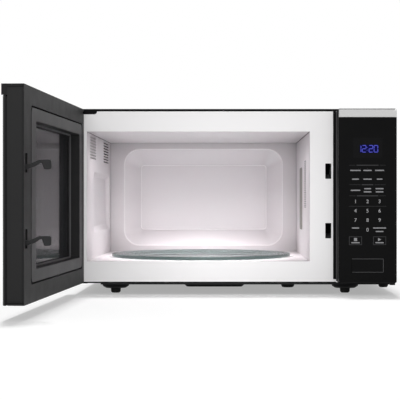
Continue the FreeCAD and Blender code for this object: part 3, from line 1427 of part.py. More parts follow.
def drive_coupler():
    z0 = DISH_Z + COUPLER_CLEAR
    z1 = TRAY_Z - RUN_GAP
    low = z1 - COUPLER_ARM_H
    half = COUPLER_ARM_W / 2
    end = CAV_XC + COUPLER_ARM_R - half
    pieces = [rod((CAV_XC, CAV_YC, z0), ALONG_Z, COUPLER_HUB_R, z1 - z0)]
    arm_bar = merged([block(CAV_XC, end, CAV_YC - half, CAV_YC + half, low, z1),
                      rod((end, CAV_YC, low), ALONG_Z, half, COUPLER_ARM_H)])
    pieces += [round_the_table(arm_bar, arm) for arm in range(ARMS)]
    bore = rod((CAV_XC, CAV_YC, z0 - PAST), ALONG_Z, SHAFT_R + PIN_GAP, z1 - COUPLER_ROOF - z0 + PAST)
    return merged(pieces).cut(bore)


def motor_shaft():
    z0 = DISH_Z - SHEET - MOTOR_H + SHAFT_SEAT
    z1 = TRAY_Z - RUN_GAP - COUPLER_ROOF - FIT_GAP
    return rod((CAV_XC, CAV_YC, z0), ALONG_Z, SHAFT_R, z1 - z0)


def turntable_motor():
    z1 = DISH_Z - SHEET
    z0 = z1 - MOTOR_H
    can = turned([(0, z0), (MOTOR_R - MOTOR_BEVEL, z0), (MOTOR_R, z0 + MOTOR_BEVEL), (MOTOR_R, z1), (0, z1)],
                 (CAV_XC, CAV_YC, 0))
    reach = MOTOR_R + MOTOR_EAR_L
    half = MOTOR_EAR_W / 2
    ears = slab("xy", (CAV_XC - reach, CAV_XC + reach, CAV_YC - half, CAV_YC + half), z1 - MOTOR_EAR_T, z1,
                MOTOR_EAR_R)
    side = MOTOR_PLUG_W / 2
    edge = CAV_YC - MOTOR_R
    plug = block(CAV_XC - side, CAV_XC + side, edge - MOTOR_PLUG_OUT, edge + MOTOR_PLUG_IN, z0 + MOTOR_BEVEL,
                 z1 - MOTOR_PLUG_DOWN)
    hole = rod((CAV_XC, CAV_YC, z0 + SHAFT_SEAT - PIN_GAP), ALONG_Z, SHAFT_R + PIN_GAP, MOTOR_H)
    return merged([can, ears, plug]).cut(hole)


def bevelled_rim(inner, outer, low, high, bevel):
    near = [(inner, low), (outer - bevel, low), (outer, low + bevel)]
    far = [(outer, high - bevel), (outer - bevel, high), (inner, high)]
    return near + far


def roller_ring():
    z0 = ROLLER_Z - RING_H / 2
    z1 = ROLLER_Z + RING_H / 2
    inner = RING_R - RING_W
    pieces = [turned(bevelled_rim(inner, RING_R, z0, z1, RING_BEVEL), (CAV_XC, CAV_YC, 0))]
    start = RING_R - RING_W / 2
    wheel = TRACK_R - ROLLER_W / 2 - RUN_GAP
    out = TRACK_R + ROLLER_W / 2 + RUN_GAP
    axle = turned([(0, start), (RING_BOSS_R, start), (RING_BOSS_R, wheel), (AXLE_R, wheel), (AXLE_R, out),
                   (AXLE_CAP_R, out), (AXLE_CAP_R, out + AXLE_CAP_L), (0, out + AXLE_CAP_L)],
                  (CAV_XC, CAV_YC, ROLLER_Z), ALONG_X)
    pieces += [round_the_table(axle, arm, RING_TURN_DEG) for arm in range(ARMS)]
    return merged(pieces)


def roller(arm):
    x0 = TRACK_R - ROLLER_W / 2
    x1 = TRACK_R + ROLLER_W / 2
    rim = bevelled_rim(ROLLER_BORE_R, ROLLER_R, x0, x1, ROLLER_BEVEL)
    wheel = turned(rim, (CAV_XC, CAV_YC, ROLLER_Z), ALONG_X)
    holes = []
    start = CAV_XC + x0 - PAST
    up = ROLLER_Z + ROLLER_R * ROLLER_HOLE_AT
    for spoke in range(ARMS):
        hole = rod((start, CAV_YC, up), ALONG_X, ROLLER_HOLE_R, ROLLER_W + 2 * PAST)
        hole.rotate(V(start, CAV_YC, ROLLER_Z), V(*ALONG_X), spoke * 360 / ARMS)
        holes.append(hole)
    return round_the_table(wheel.cut(holes), arm, RING_TURN_DEG)


# Fan

def fan_shroud():
    half = FAN_BOX / 2
    box = slab("xz", (FAN_X - half, FAN_X + half, FAN_Z - half, FAN_Z + half), FAN_Y0, REAR_Y, FAN_BOX_R)
    bore = rod((FAN_X, FAN_Y0 - PAST, FAN_Z), ALONG_Y, FAN_R + FAN_TIP_GAP, FAN_BOX_D + 2 * PAST)
    y0 = FAN_Y0 - FAN_BRIDGE_OUT
    x = half - SINK
    tall = FAN_BRIDGE_H / 2
    bridge = block(FAN_X - x, FAN_X + x, y0, y0 + FAN_BRIDGE_T, FAN_Z - tall, FAN_Z + tall)
    hole = rod((FAN_X, y0 - PAST, FAN_Z), ALONG_Y, FAN_SHAFT_R + PAST, FAN_BRIDGE_T + 2 * PAST)
    return merged([box.cut(bore), bridge]).cut(hole)


def blade_section(height, chord, pitch):
    angle = math.radians(pitch)
    corners = []
    for a, b in ((-1, -1), (1, -1), (1, 1), (-1, 1)):
        along = a * chord / 2
        thick = b * BLADE_T / 2
        corners.append(V(along * math.cos(angle) - thick * math.sin(angle),
                         along * math.sin(angle) + thick * math.cos(angle), height))
    return Part.makePolygon(corners + corners[:1])


def fan_impeller():
    y0 = FAN_HUB_IN
    y1 = FAN_HUB_IN + FAN_HUB_L
    tail = FAN_SHAFT_SEAT - FAN_MOTOR_D - FAN_BRIDGE_OUT
    centre = (FAN_X, FAN_Y0, FAN_Z)
    pieces = [turned([(0, tail), (FAN_SHAFT_R, tail), (FAN_SHAFT_R, y0), (FAN_HUB_R, y0),
                      (FAN_HUB_R, y1 - FAN_HUB_BEVEL), (FAN_HUB_R - FAN_HUB_BEVEL, y1), (0, y1)],
                     centre, ALONG_Y)]
    chord, pitch = BLADE_TIP
    height = math.sqrt(FAN_R ** 2 - (chord / 2) ** 2)
    blade = Part.makeLoft([blade_section(*BLADE_ROOT), blade_section(height, chord, pitch)], True, True)
    blade.translate(V(FAN_X, FAN_Y0 + (y0 + y1) / 2, FAN_Z))
    for number in range(FAN_BLADES):
        copy = blade.copy()
        copy.rotate(V(*centre), V(*ALONG_Y), number * 360 / FAN_BLADES)
        pieces.append(copy)
    return merged(pieces)


def fan_motor():
    y0 = FAN_MOTOR_Y0
    half = FAN_STACK_W / 2
    stack = slab("xz", (FAN_X - half, FAN_X + half, FAN_Z - FAN_STACK_DOWN, FAN_Z + FAN_STACK_UP),
                 y0 + FAN_STACK_IN, FAN_MOTOR_Y1 - FAN_STACK_IN, FAN_STACK_R)
    bell = rod((FAN_X, y0, FAN_Z), ALONG_Y, FAN_BELL_R, FAN_MOTOR_D)
    coil_start = (FAN_X - FAN_COIL_L / 2, y0 + FAN_MOTOR_D / 2, FAN_Z - FAN_COIL_DOWN)
    coil = rod(coil_start, ALONG_X, FAN_COIL_R, FAN_COIL_L)
    hole = rod((FAN_X, y0 + FAN_SHAFT_SEAT - FIT_GAP, FAN_Z), ALONG_Y, FAN_SHAFT_R + PIN_GAP, FAN_MOTOR_D)
    return merged([stack, bell, coil]).cut(hole)


# Magnetron and waveguide

def waveguide():
    rect = grown(PORT, GUIDE_OVER)
    duct = slab("yz", grown(rect, GUIDE_T), BAY_X0, MAG_X0)
    rim = slab("yz", grown(rect, GUIDE_RIM), BAY_X0, BAY_X0 + GUIDE_T)
    hollow = slab("yz", rect, BAY_X0 - PAST, MAG_X0 - GUIDE_T)
    start = (MAG_X0 - GUIDE_T - PAST, PORT_Y, MAG_Z)
    antenna = rod(start, ALONG_X, ANTENNA_R + ANTENNA_GAP, GUIDE_T + 2 * PAST)
    return merged([duct, rim]).cut([hollow, antenna])


def magnetron():
    x1 = MAG_X0 + MAG_L
    rect = (PORT_Y - MAG_W / 2, PORT_Y + MAG_W / 2, MAG_Z - MAG_H / 2, MAG_Z + MAG_H / 2)
    window = (rect[0] - PAST, rect[1] + PAST, rect[2] + YOKE_T, rect[3] - YOKE_T)
    pieces = [slab("yz", rect, MAG_X0, x1).cut(slab("yz", window, MAG_X0 + YOKE_T, x1 - YOKE_T))]
    pieces.append(rod((MAG_X0, PORT_Y, MAG_Z), ALONG_X, ANODE_R, MAG_L))
    step = (MAG_L - 2 * FIN_END) / (MAG_FINS - 1)
    for fin in range(MAG_FINS):
        x = MAG_X0 + FIN_END + fin * step
        pieces.append(block(x - FIN_T / 2, x + FIN_T / 2, rect[0] + FIN_SIDE, rect[1] - FIN_SIDE,
                            rect[2] + SINK, rect[3] - SINK))
    pieces.append(rod((MAG_X0 - ANTENNA_L, PORT_Y, MAG_Z), ALONG_X, ANTENNA_R, ANTENNA_L + SINK))
    half = FILTER_BOX_W / 2
    tall = FILTER_BOX_H / 2
    box = (PORT_Y - half, PORT_Y + half, MAG_Z - tall, MAG_Z + tall)
    pieces.append(slab("yz", box, x1 - SINK, x1 + FILTER_BOX_L))
    return merged(pieces)


# Transformer, capacitor and filter board on the base

def hv_transformer():
    x0 = BAY_X0 + HVT_IN
    y0 = YF + CAV_D * HVT_AT
    x = x0 + HVT_PLATE_W / 2
    y = y0 + HVT_PLATE_D / 2
    z0 = BASE_FLOOR + HVT_PLATE_T
    core = (x - HVT_CORE_W / 2, x + HVT_CORE_W / 2, y - HVT_CORE_D / 2, y + HVT_CORE_D / 2)
    coil = (x - HVT_COIL_W / 2, x + HVT_COIL_W / 2, y - HVT_COIL_D / 2, y + HVT_COIL_D / 2)
    pieces = [block(x0, x0 + HVT_PLATE_W, y0, y0 + HVT_PLATE_D, BASE_FLOOR, z0),
              slab("xy", core, z0 - FIT_GAP, z0 + HVT_CORE_H)]
    for number in range(HVT_COILS):
        low = BASE_FLOOR + HVT_COIL_LOW + number * HVT_COIL_STEP
        pieces.append(slab("xy", coil, low, low + HVT_COIL_H, HVT_COIL_R))
    return merged(pieces)


def hv_capacitor():
    can = (CAN_X0, CAN_X0 + CAN_W, BASE_FLOOR, BASE_FLOOR + CAN_H)
    pieces = [slab("xz", can, CAN_Y0, CAN_Y0 + CAN_L, CAN_R)]
    z0 = BASE_FLOOR + CAN_H / 2 - CAN_TAB_T / 2
    for x in (CAN_X0 + CAN_TAB_IN, CAN_X0 + CAN_W - CAN_TAB_IN - CAN_TAB_W):
        pieces.append(block(x, x + CAN_TAB_W, CAN_Y0 - CAN_TAB_L, CAN_Y0 + SINK, z0, z0 + CAN_TAB_T))
    return merged(pieces)


def capacitor_strap():
    y = CAN_Y0 + CAN_L / 2
    y0 = y - STRAP_W / 2
    y1 = y + STRAP_W / 2
    x1 = CAN_X0 + CAN_W
    middle = BASE_FLOOR + CAN_H / 2
    over = (CAN_X0 - STRAP_T, x1 + STRAP_T, BASE_FLOOR, BASE_FLOOR + CAN_H + STRAP_T)
    room = (CAN_X0 - FIT_GAP, x1 + FIT_GAP, BASE_FLOOR - PAST, BASE_FLOOR + CAN_H + FIT_GAP)
    half = (over[0] - PAST, over[1] + PAST, BASE_FLOOR - PAST, middle)
    lower = slab("xz", half, y0 - PAST, y1 + PAST)
    arch = slab("xz", over, y0, y1, CAN_R).cut([slab("xz", room, y0 - PAST, y1 + PAST, CAN_R), lower])
    riser = block(x1 + FIT_GAP, x1 + STRAP_T, y0, y1, BASE_FLOOR, middle + FIT_GAP)
    foot = block(x1 + FIT_GAP, x1 + STRAP_FOOT, y0, y1, BASE_FLOOR, BASE_FLOOR + STRAP_T)
    return merged([arch, riser, foot])


def filter_board():
    x0 = BAY_X0 + FILTER_IN
    y0 = YF + FILTER_BACK
    z0 = BASE_FLOOR + FILTER_UP
    z1 = z0 + BOARD_T
    low = z1 - FIT_GAP
    pieces = [block(x0, x0 + FILTER_W, y0, y0 + FILTER_D, z0, z1)]
    for x in (x0 + FILTER_POST_IN, x0 + FILTER_W - FILTER_POST_IN):
        for y in (y0 + FILTER_POST_IN, y0 + FILTER_D - FILTER_POST_IN):
            pieces.append(rod((x, y, BASE_FLOOR), ALONG_Z, POST_R, FILTER_UP + FIT_GAP))
    pieces.append(rod((x0 + CHOKE_X, y0 + CHOKE_Y, low), ALONG_Z, CHOKE_R, CHOKE_H))
    x = x0 + FILTER_CAP_X
    for number in range(FILTER_CAPS):
        y = y0 + FILTER_CAP_Y + number * FILTER_CAP_STEP
        pieces.append(block(x, x + FILTER_CAP_W, y, y + FILTER_CAP_D, low, low + FILTER_CAP_H))
    x = x0 + FUSE_X
    y = y0 + FUSE_Y
    pieces.append(block(x, x + FUSE_W, y, y + FUSE_D, low, low + FUSE_H))
    return merged(pieces)


# Air duct, lamp and thermal cut-outs

def air_duct():
    x1 = BAY_X0 + DUCT_X
    hood = slab("yz", DUCT, BAY_X0, x1, DUCT_R)
    hollow = slab("yz", grown(DUCT, -DUCT_T), BAY_X0 - PAST, x1 - DUCT_T, DUCT_R - DUCT_T)
    mouth = block(BAY_X0 + DUCT_MOUTH_X, x1 - DUCT_MOUTH_X, DUCT[1] - DUCT_T - PAST, DUCT[1] + PAST,
                  DUCT[2] + DUCT_MOUTH_Z, DUCT[3] - DUCT_MOUTH_Z)
    lamp = rod((x1 - DUCT_T - PAST, PERF_Y, PERF_ZC), ALONG_X, LAMP_R + LAMP_HOLE_GAP, DUCT_T + 2 * PAST)
    return hood.cut([hollow, mouth, lamp])


def cavity_lamp():
    x1 = BAY_X0 + DUCT_X
    neck = -LAMP_CAP_L
    bulb = neck - LAMP_NECK_L
    tip = bulb - LAMP_BULB_L
    end = tip - LAMP_NECK_L
    glass = turned([(0, end), (LAMP_TIP_R, end), (LAMP_R, tip), (LAMP_R, bulb), (LAMP_CAP_R, neck),
                    (LAMP_CAP_R, SINK), (0, SINK)], (x1, PERF_Y, PERF_ZC), ALONG_X)
    half = LAMP_FLANGE / 2
    rect = (PERF_Y - half, PERF_Y + half, PERF_ZC - half, PERF_ZC + half)
    flange = slab("yz", rect, x1, x1 + LAMP_FLANGE_T, LAMP_FLANGE_R)
    plug = block(x1 + SINK, x1 + LAMP_PLUG_L, PERF_Y - LAMP_PLUG_W / 2, PERF_Y + LAMP_PLUG_W / 2,
                 PERF_ZC - LAMP_PLUG_H / 2, PERF_ZC + LAMP_PLUG_H / 2)
    return merged([flange, glass, plug])


def thermal_cutouts():
    x = CAV_X1 - CUTOUT_INSET
    z = CAV_Z1 + SHEET
    top = z + CUTOUT_H
    thin = CUTOUT_TAB_T / 2
    shapes = []
    for part in CUTOUT_AT:
        y = YF + CAV_D * part
        ears = (x - CUTOUT_PLATE_W / 2, x + CUTOUT_PLATE_W / 2, y - CUTOUT_PLATE_D / 2, y + CUTOUT_PLATE_D / 2)
        pieces = [rod((x, y, z), ALONG_Z, CUTOUT_R, CUTOUT_H)]
        pieces.append(slab("xy", ears, z, z + CUTOUT_PLATE_T, CUTOUT_PLATE_R))
        for middle in (x - CUTOUT_TAB_OFF, x + CUTOUT_TAB_OFF):
            tab = (middle - CUTOUT_TAB_W / 2, middle + CUTOUT_TAB_W / 2, y - thin, y + thin)
            pieces.append(slab("xy", tab, top - SINK, top + CUTOUT_TAB_H))
        shapes.append(merged(pieces))
    return Part.makeCompound(shapes)


# Export

PARTS = {
    "outer_wrap": outer_wrap,
    "base_plate": base_plate,
    "feet": feet,
    "rear_panel": rear_panel,
    "cord_gland": cord_gland,
    "case_screws": case_screws,
    "front_frame": front_frame,
    "cavity_floor": cavity_floor,
    "cavity_ceiling": cavity_ceiling,
    "cavity_left_wall": cavity_left_wall,
    "cavity_right_wall": cavity_right_wall,
    "cavity_back_wall": cavity_back_wall,
    "waveguide_cover": waveguide_cover,
    "upper_hinge_bracket": upper_hinge_bracket,
    "lower_hinge_bracket": lower_hinge_bracket,
    "hinge_pins": hinge_pins,
    "hinge_screws": hinge_screws,
    "hinge_bushes": hinge_bushes,
    "choke_cover": choke_cover,
    "door_frame": door_frame,
    "door_inner_panel": door_inner_panel,
    "window_liner": window_liner,
    "window_trim": window_trim,
    "door_inner_glass": door_inner_glass,
    "door_screen": door_screen,
    "glass_tape": glass_tape,
    "door_front_glass": door_front_glass,
    "door_band": door_band,
    "latch_bar": latch_bar,
    "latch_spring": latch_spring,
    "panel_housing": panel_housing,
    "panel_fascia": panel_fascia,
    "panel_band": panel_band,
    "display_module": display_module,
    "control_board": control_board,
    "open_button": open_button,
    "button_spring": button_spring,
    "latch_board": latch_board,
    "interlock_switches": interlock_switches,
    "release_bar": release_bar,
    "glass_tray": glass_tray,
    "drive_coupler": drive_coupler,
    "motor_shaft": motor_shaft,
    "turntable_motor": turntable_motor,
    "roller_ring": roller_ring,
    "fan_shroud": fan_shroud,
    "fan_impeller": fan_impeller,
    "fan_motor": fan_motor,
    "waveguide": waveguide,
    "magnetron": magnetron,
    "hv_transformer": hv_transformer,
    "hv_capacitor": hv_capacitor,
    "capacitor_strap": capacitor_strap,
    "air_duct": air_duct,
    "cavity_lamp": cavity_lamp,
    "thermal_cutouts": thermal_cutouts,
    "filter_board": filter_board,
}

os.makedirs("parts", exist_ok=True)
for name, build in PARTS.items():
    build().exportStep("parts/" + name + ".step")
for number in range(ARMS):
    roller(number).exportStep("parts/roller_" + str(number + 1) + ".step")
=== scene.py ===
"""Looks of a countertop microwave oven that stands with its door open."""
import json
import math

import bmesh
import bpy
from mathutils import Matrix, Vector

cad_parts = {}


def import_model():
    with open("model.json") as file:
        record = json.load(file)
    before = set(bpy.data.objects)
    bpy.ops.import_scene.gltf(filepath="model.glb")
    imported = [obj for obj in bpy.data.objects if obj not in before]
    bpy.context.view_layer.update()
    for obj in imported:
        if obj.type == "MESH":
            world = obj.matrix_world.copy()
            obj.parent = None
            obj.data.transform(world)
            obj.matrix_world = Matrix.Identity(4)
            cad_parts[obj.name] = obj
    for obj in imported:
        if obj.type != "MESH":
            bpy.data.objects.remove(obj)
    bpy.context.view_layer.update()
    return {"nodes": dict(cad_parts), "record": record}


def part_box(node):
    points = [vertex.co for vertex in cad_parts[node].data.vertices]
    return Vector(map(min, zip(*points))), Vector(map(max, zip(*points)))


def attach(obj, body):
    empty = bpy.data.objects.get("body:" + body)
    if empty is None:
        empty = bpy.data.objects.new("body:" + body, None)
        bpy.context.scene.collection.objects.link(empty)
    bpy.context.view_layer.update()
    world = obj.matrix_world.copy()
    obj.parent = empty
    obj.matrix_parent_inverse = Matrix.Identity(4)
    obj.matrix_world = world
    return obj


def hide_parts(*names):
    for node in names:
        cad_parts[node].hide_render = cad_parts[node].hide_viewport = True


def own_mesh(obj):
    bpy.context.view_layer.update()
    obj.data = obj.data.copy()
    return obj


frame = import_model()
NODES = frame["nodes"]
JOINTS = {joint["name"]: joint for joint in frame["record"]["behaviour"]["joints"]}
SWING = JOINTS["door_swing"]

MM = 0.001
HINGE = Vector(SWING["pos_m"])
DOOR_OPEN_DEG = SWING["range_deg"][1]

# Camera of the photograph, in metres and degrees, with its lens and sensor in millimetres
CAMERA_PLACE = (-0.010, -2.248, 0.1615)
CAMERA_TILT_DEG = 90.0
CAMERA_LENS = 105.03
CAMERA_SHIFT = (-0.0728, 0.003)
CAMERA_CLIP = (0.05, 60.0)
SENSOR_W = 36.0

# Floor, surrounding light and sun
FLOOR_HALF = 9.0
FLOOR_GLOW = 0.385
FLOOR_COLOUR = (0.64, 0.64, 0.64, 1.0)
WHITE = (1.0, 1.0, 1.0, 1.0)
AMBIENT = 0.38
SUN_LEAN_DEG = 13.0
SUN_SIDE_DEG = 1.0
SUN_ANGLE_DEG = 8.0
SUN_STRENGTH = 2.05

# Lamps: place, target, size, power in watts and spread in degrees
CAVITY_X = -0.0635
LAMPS = {
    "front": ((-0.02, -2.6, 1.00), (-0.05, -0.1, 0.10), (2.4, 0.4), 20.0, 180.0),
    "card": ((-0.04, -0.55, 0.105), (-0.04, -0.20, 0.105), (0.12, 0.16), 0.62, 180.0),
    "cavity": ((CAVITY_X, -0.03, 0.278), (CAVITY_X, -0.029, 0.0), (0.16, 0.20), 1.70, 90.0),
    "mouth": ((CAVITY_X, -0.20, 0.278), (CAVITY_X, 0.02, 0.06), (0.34, 0.04), 0.51, 110.0),
    "bounce": ((CAVITY_X, -0.03, 0.072), (CAVITY_X, -0.029, 1.0), (0.30, 0.30), 0.015, 150.0),
}

# Lamps that leave no mirror image
UNMIRRORED = ("card", "cavity", "mouth", "bounce")

# Control panel print, in millimetres from the panel's middle and from the counter
KEY_PITCH = 20.6
KEY_SHIFT = -0.4
PRINT_T = 0.06
BAR_T = 2.0
DIGIT_SIZE = 8.6
DIGIT_ROWS = ((160.8, "123"), (144.9, "456"), (128.9, "789"), (112.3, " 0 "))

# Bars in place of words: height of a row, then the column, width and rise of each bar in it
FUNCTION_ROWS = (
    (214.1, ((0, 18.5, 0), (1, 14.6, 0), (2, 15.4, 0))),
    (199.2, ((0, 12.0, 0), (1, 14.6, 0), (2, 10.0, 0))),
    (180.1, ((0, 16.6, 0), (1, 12.0, 2.8), (1, 13.4, -2.6), (2, 13.8, 2.8), (2, 13.2, -2.6))),
    (112.8, ((0, 12.4, 2.9), (2, 22.6, 2.9), (2, 13.4, -3.0))),
)

# Rules between the groups of keys: height of a rule, and width of the bar in its middle
HEADED_RULES = ((223.0, 38.0), (189.7, 20.0), (170.7, 37.0))
HEADED_RULE_REACH = 31.0
HEADING_T = 0.75 * BAR_T
HEADING_GAP = 2.0
PLAIN_RULE_Z = 152.8
PLAIN_RULE_REACH = 32.0
RULE_T = 0.5

# Stop and start keys
ACTION_BOX_W = 22.0
ACTION_BOX_Z = (86.8, 101.2)
ACTION_BOX_T = 0.9
ACTION_BAR_Z = 90.6
ACTION_BAR_W = 14.5
ACTION_BAR_T = 1.9
ACTION_SIGN_Z = 96.0
STOP_HALF = 2.6
START_HALF_H = 2.8
START_TIP = 3.0

# Clock, with each numeral made of up to seven strokes
CLOCK_TEXT = "12:20"
CLOCK_X = -0.45
CLOCK_Z = 251.1
CLOCK_H = 11.4
CLOCK_DIGIT_W = 6.4
CLOCK_STEP = 8.6
CLOCK_STROKE = 1.1
CLOCK_STROKE_TRIM = 0.6 * CLOCK_STROKE
CLOCK_COLON_GAP = 3.0
CLOCK_COLON_SHIFT = 0.4
CLOCK_COLON_RISES = (0.3, 0.7)
CLOCK_COLON_W = 1.02 * CLOCK_STROKE
CLOCK_GLOW_RIM = 1.0
SEGMENTS = {
    "0": "abcdef", "1": "bc", "2": "abged", "3": "abgcd", "4": "fgbc",
    "5": "afgcd", "6": "afgedc", "7": "abc", "8": "abcdefg", "9": "abcdfg",
}

# Thin pieces in the cavity, in millimetres, with each fold's width, height and corner radius
# Painted shade along the cavity's inside corners: its width on the walls and on the back
CREASE_SHADE_T = 0.9
BACK_CREASE_SHADE_T = 0.6
# Beads of lighter enamel that paint the highlight on the bulge's folds
MOUTH_FOLD = (329.0, 200.0, 32.0)
FOLD_BEAD_R = 1.5
FOLD_SINK = 1.0
BED_FOLD = (263.0, 134.0, 6.0)
BED_DEPTH = 30.0
BED_PROUD = 0.3
BED_BEAD_R = 1.1
BEAD_ROUNDING = 3
# Black boxes in the lamp's slits, painted shade
SLIT_Y = -98.0
SLIT_Z = 192.8
SLIT_ROWS = 26
SLIT_PITCH = 3.36
SLIT_H = 1.6
SLIT_COLUMNS = 4
SLIT_STEP = 11.8
SLIT_L = 10.4
SLIT_SINK = 0.05
SLIT_SHADE_T = 0.3
# Band round the tray's rim: the glass's own green with painted shade
TRAY_EDGE_GAP = 0.05
TRAY_EDGE_T = 0.3
TRAY_EDGE_TOP = 0.3
TRAY_EDGE_H = 5.1
TRAY_EDGE_STEPS = 128

# Thin pieces on the front frame, the door and the panel, in millimetres
SKIN_T = 0.08
WRAP_T = 1.0
FRAME_RIB_X = 150.7
FRAME_RIB_Z = 286.7
FRAME_RIB_W = 2.6
FRAME_RIB_L = 31.4
FRAME_RIB_T = 0.4
# Overlap of the painted shade along the case's edges at the frame
FRAME_SHADE_LAP = 0.7
GAP_SHADE_X = (170.4, 175.5)
GAP_SHADE_Z = (26.2, 317.6)
GAP_SHADE_T = 0.3
GAP_SHADE_PROUD = 0.1
CAP_T = 0.5
# Painted shade along the door's top edge: its height
EDGE_LINE_T = 1.5
END_GROOVE_T = 1.0
END_GROOVE_INSET = 3.2
GLASS_EDGE_W = 2.2
# Painted shade on the band's top edge
BAND_EDGE_T = 2.0
BAND_EDGE_SINK = 0.1
BAND_EDGE_INSET = 3.0
FLANGE_T = 1.2
FLANGE_END = 2.4
LOW_EDGE_T = 0.8
FASCIA_CORNER_R = 3.5
# Painted highlight round the push button
BUTTON_EDGE_T = 0.9
BUTTON_EDGE_INSET = 0.4

# Holes of the door's screen and painted shade in the cavity's corners, in metres
HOLE_PITCH = 0.0021
HOLE_R = 0.00075
CORNER_SHADE_REACH = 0.05
CORNER_SHADE_LEVEL = 0.5

# Cloud of a coated finish: its size in grains, and how far the roughness strays in it
CLOUD_GRAINS = 30
CLOUD_ROUGHNESS = 0.06

# Shine of the coated finishes, by shader socket
PLAIN = {}
DULL = {"Specular IOR Level": 0.08}
BLACK_GLOSS = {"Specular IOR Level": 0.05}
SHINE = {"Specular IOR Level": 0.5, "Coat Weight": 0.6, "Coat Roughness": 0.34}

# Coats that several colours share: roughness, grain and its depth in metres, shine, and stray of the colour
ENAMEL = (0.42, 0.0016, 0.00001, SHINE, 0.01)
DOOR_PAINT = (0.5, 0.0007, 0.00003, DULL, 0.06)
INK = (0.55, 0.0006, 0.000004, DULL, 0.12)
EDGE_PAINT = (0.4, 0.0006, 0.000004, DULL, 0.1)
CREASE_SHADE_COAT = (0.6, 0.0006, 0.00002, DULL, 0.1)

# Coated finishes: the colour, then the coat
COATS = {
    "case_black": ((0.014, 0.014, 0.015), 0.5, 0.0009, 0.00006, DULL, 0.12),
    "hinge_black": ((0.003, 0.003, 0.0033), 0.45, 0.0010, 0.00003, BLACK_GLOSS, 0.12),
    "frame_white": ((0.80, 0.79, 0.795), *ENAMEL),
    "rubber_black": ((0.022, 0.022, 0.022), 0.7, 0.0006, 0.00008, DULL, 0.15),
    "door_grey": ((0.018, 0.018, 0.0183), *DOOR_PAINT),
    "door_end": ((0.025, 0.025, 0.0254), *DOOR_PAINT),
    "panel_grey": ((0.043, 0.043, 0.044), 0.42, 0.0012, 0.00001, DULL, 0.04),
    "black_trim": ((0.020, 0.020, 0.0205), 0.45, 0.0007, 0.00002, BLACK_GLOSS, 0.1),
    "light_trim": ((0.075, 0.075, 0.077), 0.4, 0.0008, 0.00001, DULL, 0.08),
    "latch_grey": ((0.032, 0.032, 0.033), 0.45, 0.0008, 0.00002, DULL, 0.06),
    "panel_black": ((0.010, 0.010, 0.0105), 0.5, 0.0007, 0.00003, DULL, 0.1),
    "fascia_black": ((0.0042, 0.0042, 0.0044), 0.15, 0.0010, 0.000004, BLACK_GLOSS, 0.1),
    "display_dark": ((0.0055, 0.0055, 0.006), 0.2, 0.0010, 0.000002, BLACK_GLOSS, 0.1),
    "white_plastic": ((0.74, 0.74, 0.72), 0.45, 0.0010, 0.00002, PLAIN, 0.03),
    "switch_black": ((0.020, 0.020, 0.021), 0.5, 0.0008, 0.00003, DULL, 0.1),
    "fan_grey": ((0.18, 0.18, 0.185), 0.5, 0.0010, 0.00002, PLAIN, 0.05),
    "lamp_white": ((0.78, 0.76, 0.70), 0.35, 0.0012, 0.00001, PLAIN, 0.03),
    "print_white": ((0.27, 0.27, 0.28), *INK),
    "digit_white": ((0.42, 0.42, 0.43), *INK),
    "print_faint": ((0.045, 0.045, 0.047), *INK),
    # Grey of the painted shade on the band's top edge
    "band_shade_grey": ((0.36, 0.36, 0.36), 0.4, 0.0006, 0.000004, DULL, 0.04),
    # Deep green of the tray's rim, with painted shade in it
    "tray_rim_shade": ((0.075, 0.112, 0.107), 0.3, 0.004, 0.000004, PLAIN, 0.06),
    # Grey of the painted highlights on the button's and the panel flange's edges
    "edge_highlight_grey": ((0.075, 0.075, 0.077), 0.5, 0.0006, 0.000004, DULL, 0.1),
    "glass_edge": ((0.013, 0.013, 0.0135), *EDGE_PAINT),
    # Painted highlight on the fascia's lower edge
    "low_edge_highlight": ((0.016, 0.016, 0.0165), *EDGE_PAINT),
    # Colours of the painted shade in the cavity's inside corners
    "crease_shade_grey": ((0.44, 0.41, 0.425), *CREASE_SHADE_COAT),
    "crease_shade_dark": ((0.22, 0.205, 0.21), *CREASE_SHADE_COAT),
    # Lighter enamel for the painted highlight along the back wall's folds
    "fold_highlight_white": ((0.80, 0.76, 0.775), 0.34, 0.0016, 0.00001, SHINE, 0.01),
}
CAVITY_WHITE = (0.705, 0.655, 0.678)
PRIMER_GREY = (0.52, 0.52, 0.51, 1.0)
# Near black of the case's front lip, painted shade of the gap there
LIP_SHADE_BLACK = (0.002, 0.002, 0.002, 1.0)

# Sockets of a colour mix: the share and the two colours, and the result
MIX_INPUTS = (0, 6, 7)
MIX_RESULT = 2


# Node helpers

def feed(owner, socket, value):
    """Link a value to a socket of a material or of the world, or set the socket to a constant."""
    if isinstance(value, bpy.types.NodeSocket):
        owner.node_tree.links.new(value, socket)
    else:
        socket.default_value = value


def new_node(owner, kind, values):
    """A shader node, with some of its inputs given values by their names."""
    node = owner.node_tree.nodes.new(kind)
    for socket, value in values.items():
        feed(owner, node.inputs[socket], value)
    return node


def wire(material, value, socket):
    feed(material, material.node_tree.nodes["Principled BSDF"].inputs[socket], value)


def new_material(name, sockets):
    material = bpy.data.materials.new(name)
    material.use_nodes = True
    for socket, value in sockets.items():
        wire(material, value, socket)
    return material


def places(material, stretch=(1.0, 1.0, 1.0), turn=0.0):
    """Object coordinates in metres, turned about Z and stretched."""
    coords = new_node(material, "ShaderNodeTexCoord", {})
    mapping = new_node(material, "ShaderNodeMapping", {
        "Vector": coords.outputs["Object"], "Scale": stretch, "Rotation": (0.0, 0.0, math.radians(turn))})
    return mapping.outputs["Vector"]


def noise(material, size, detail=3.0, stretch=(1.0, 1.0, 1.0)):
    """Noise whose lumps are about one size across, in metres."""
    texture = new_node(material, "ShaderNodeTexNoise", {
        "Vector": places(material, stretch), "Scale": 1.0 / size, "Detail": detail})
    return texture.outputs["Fac"]


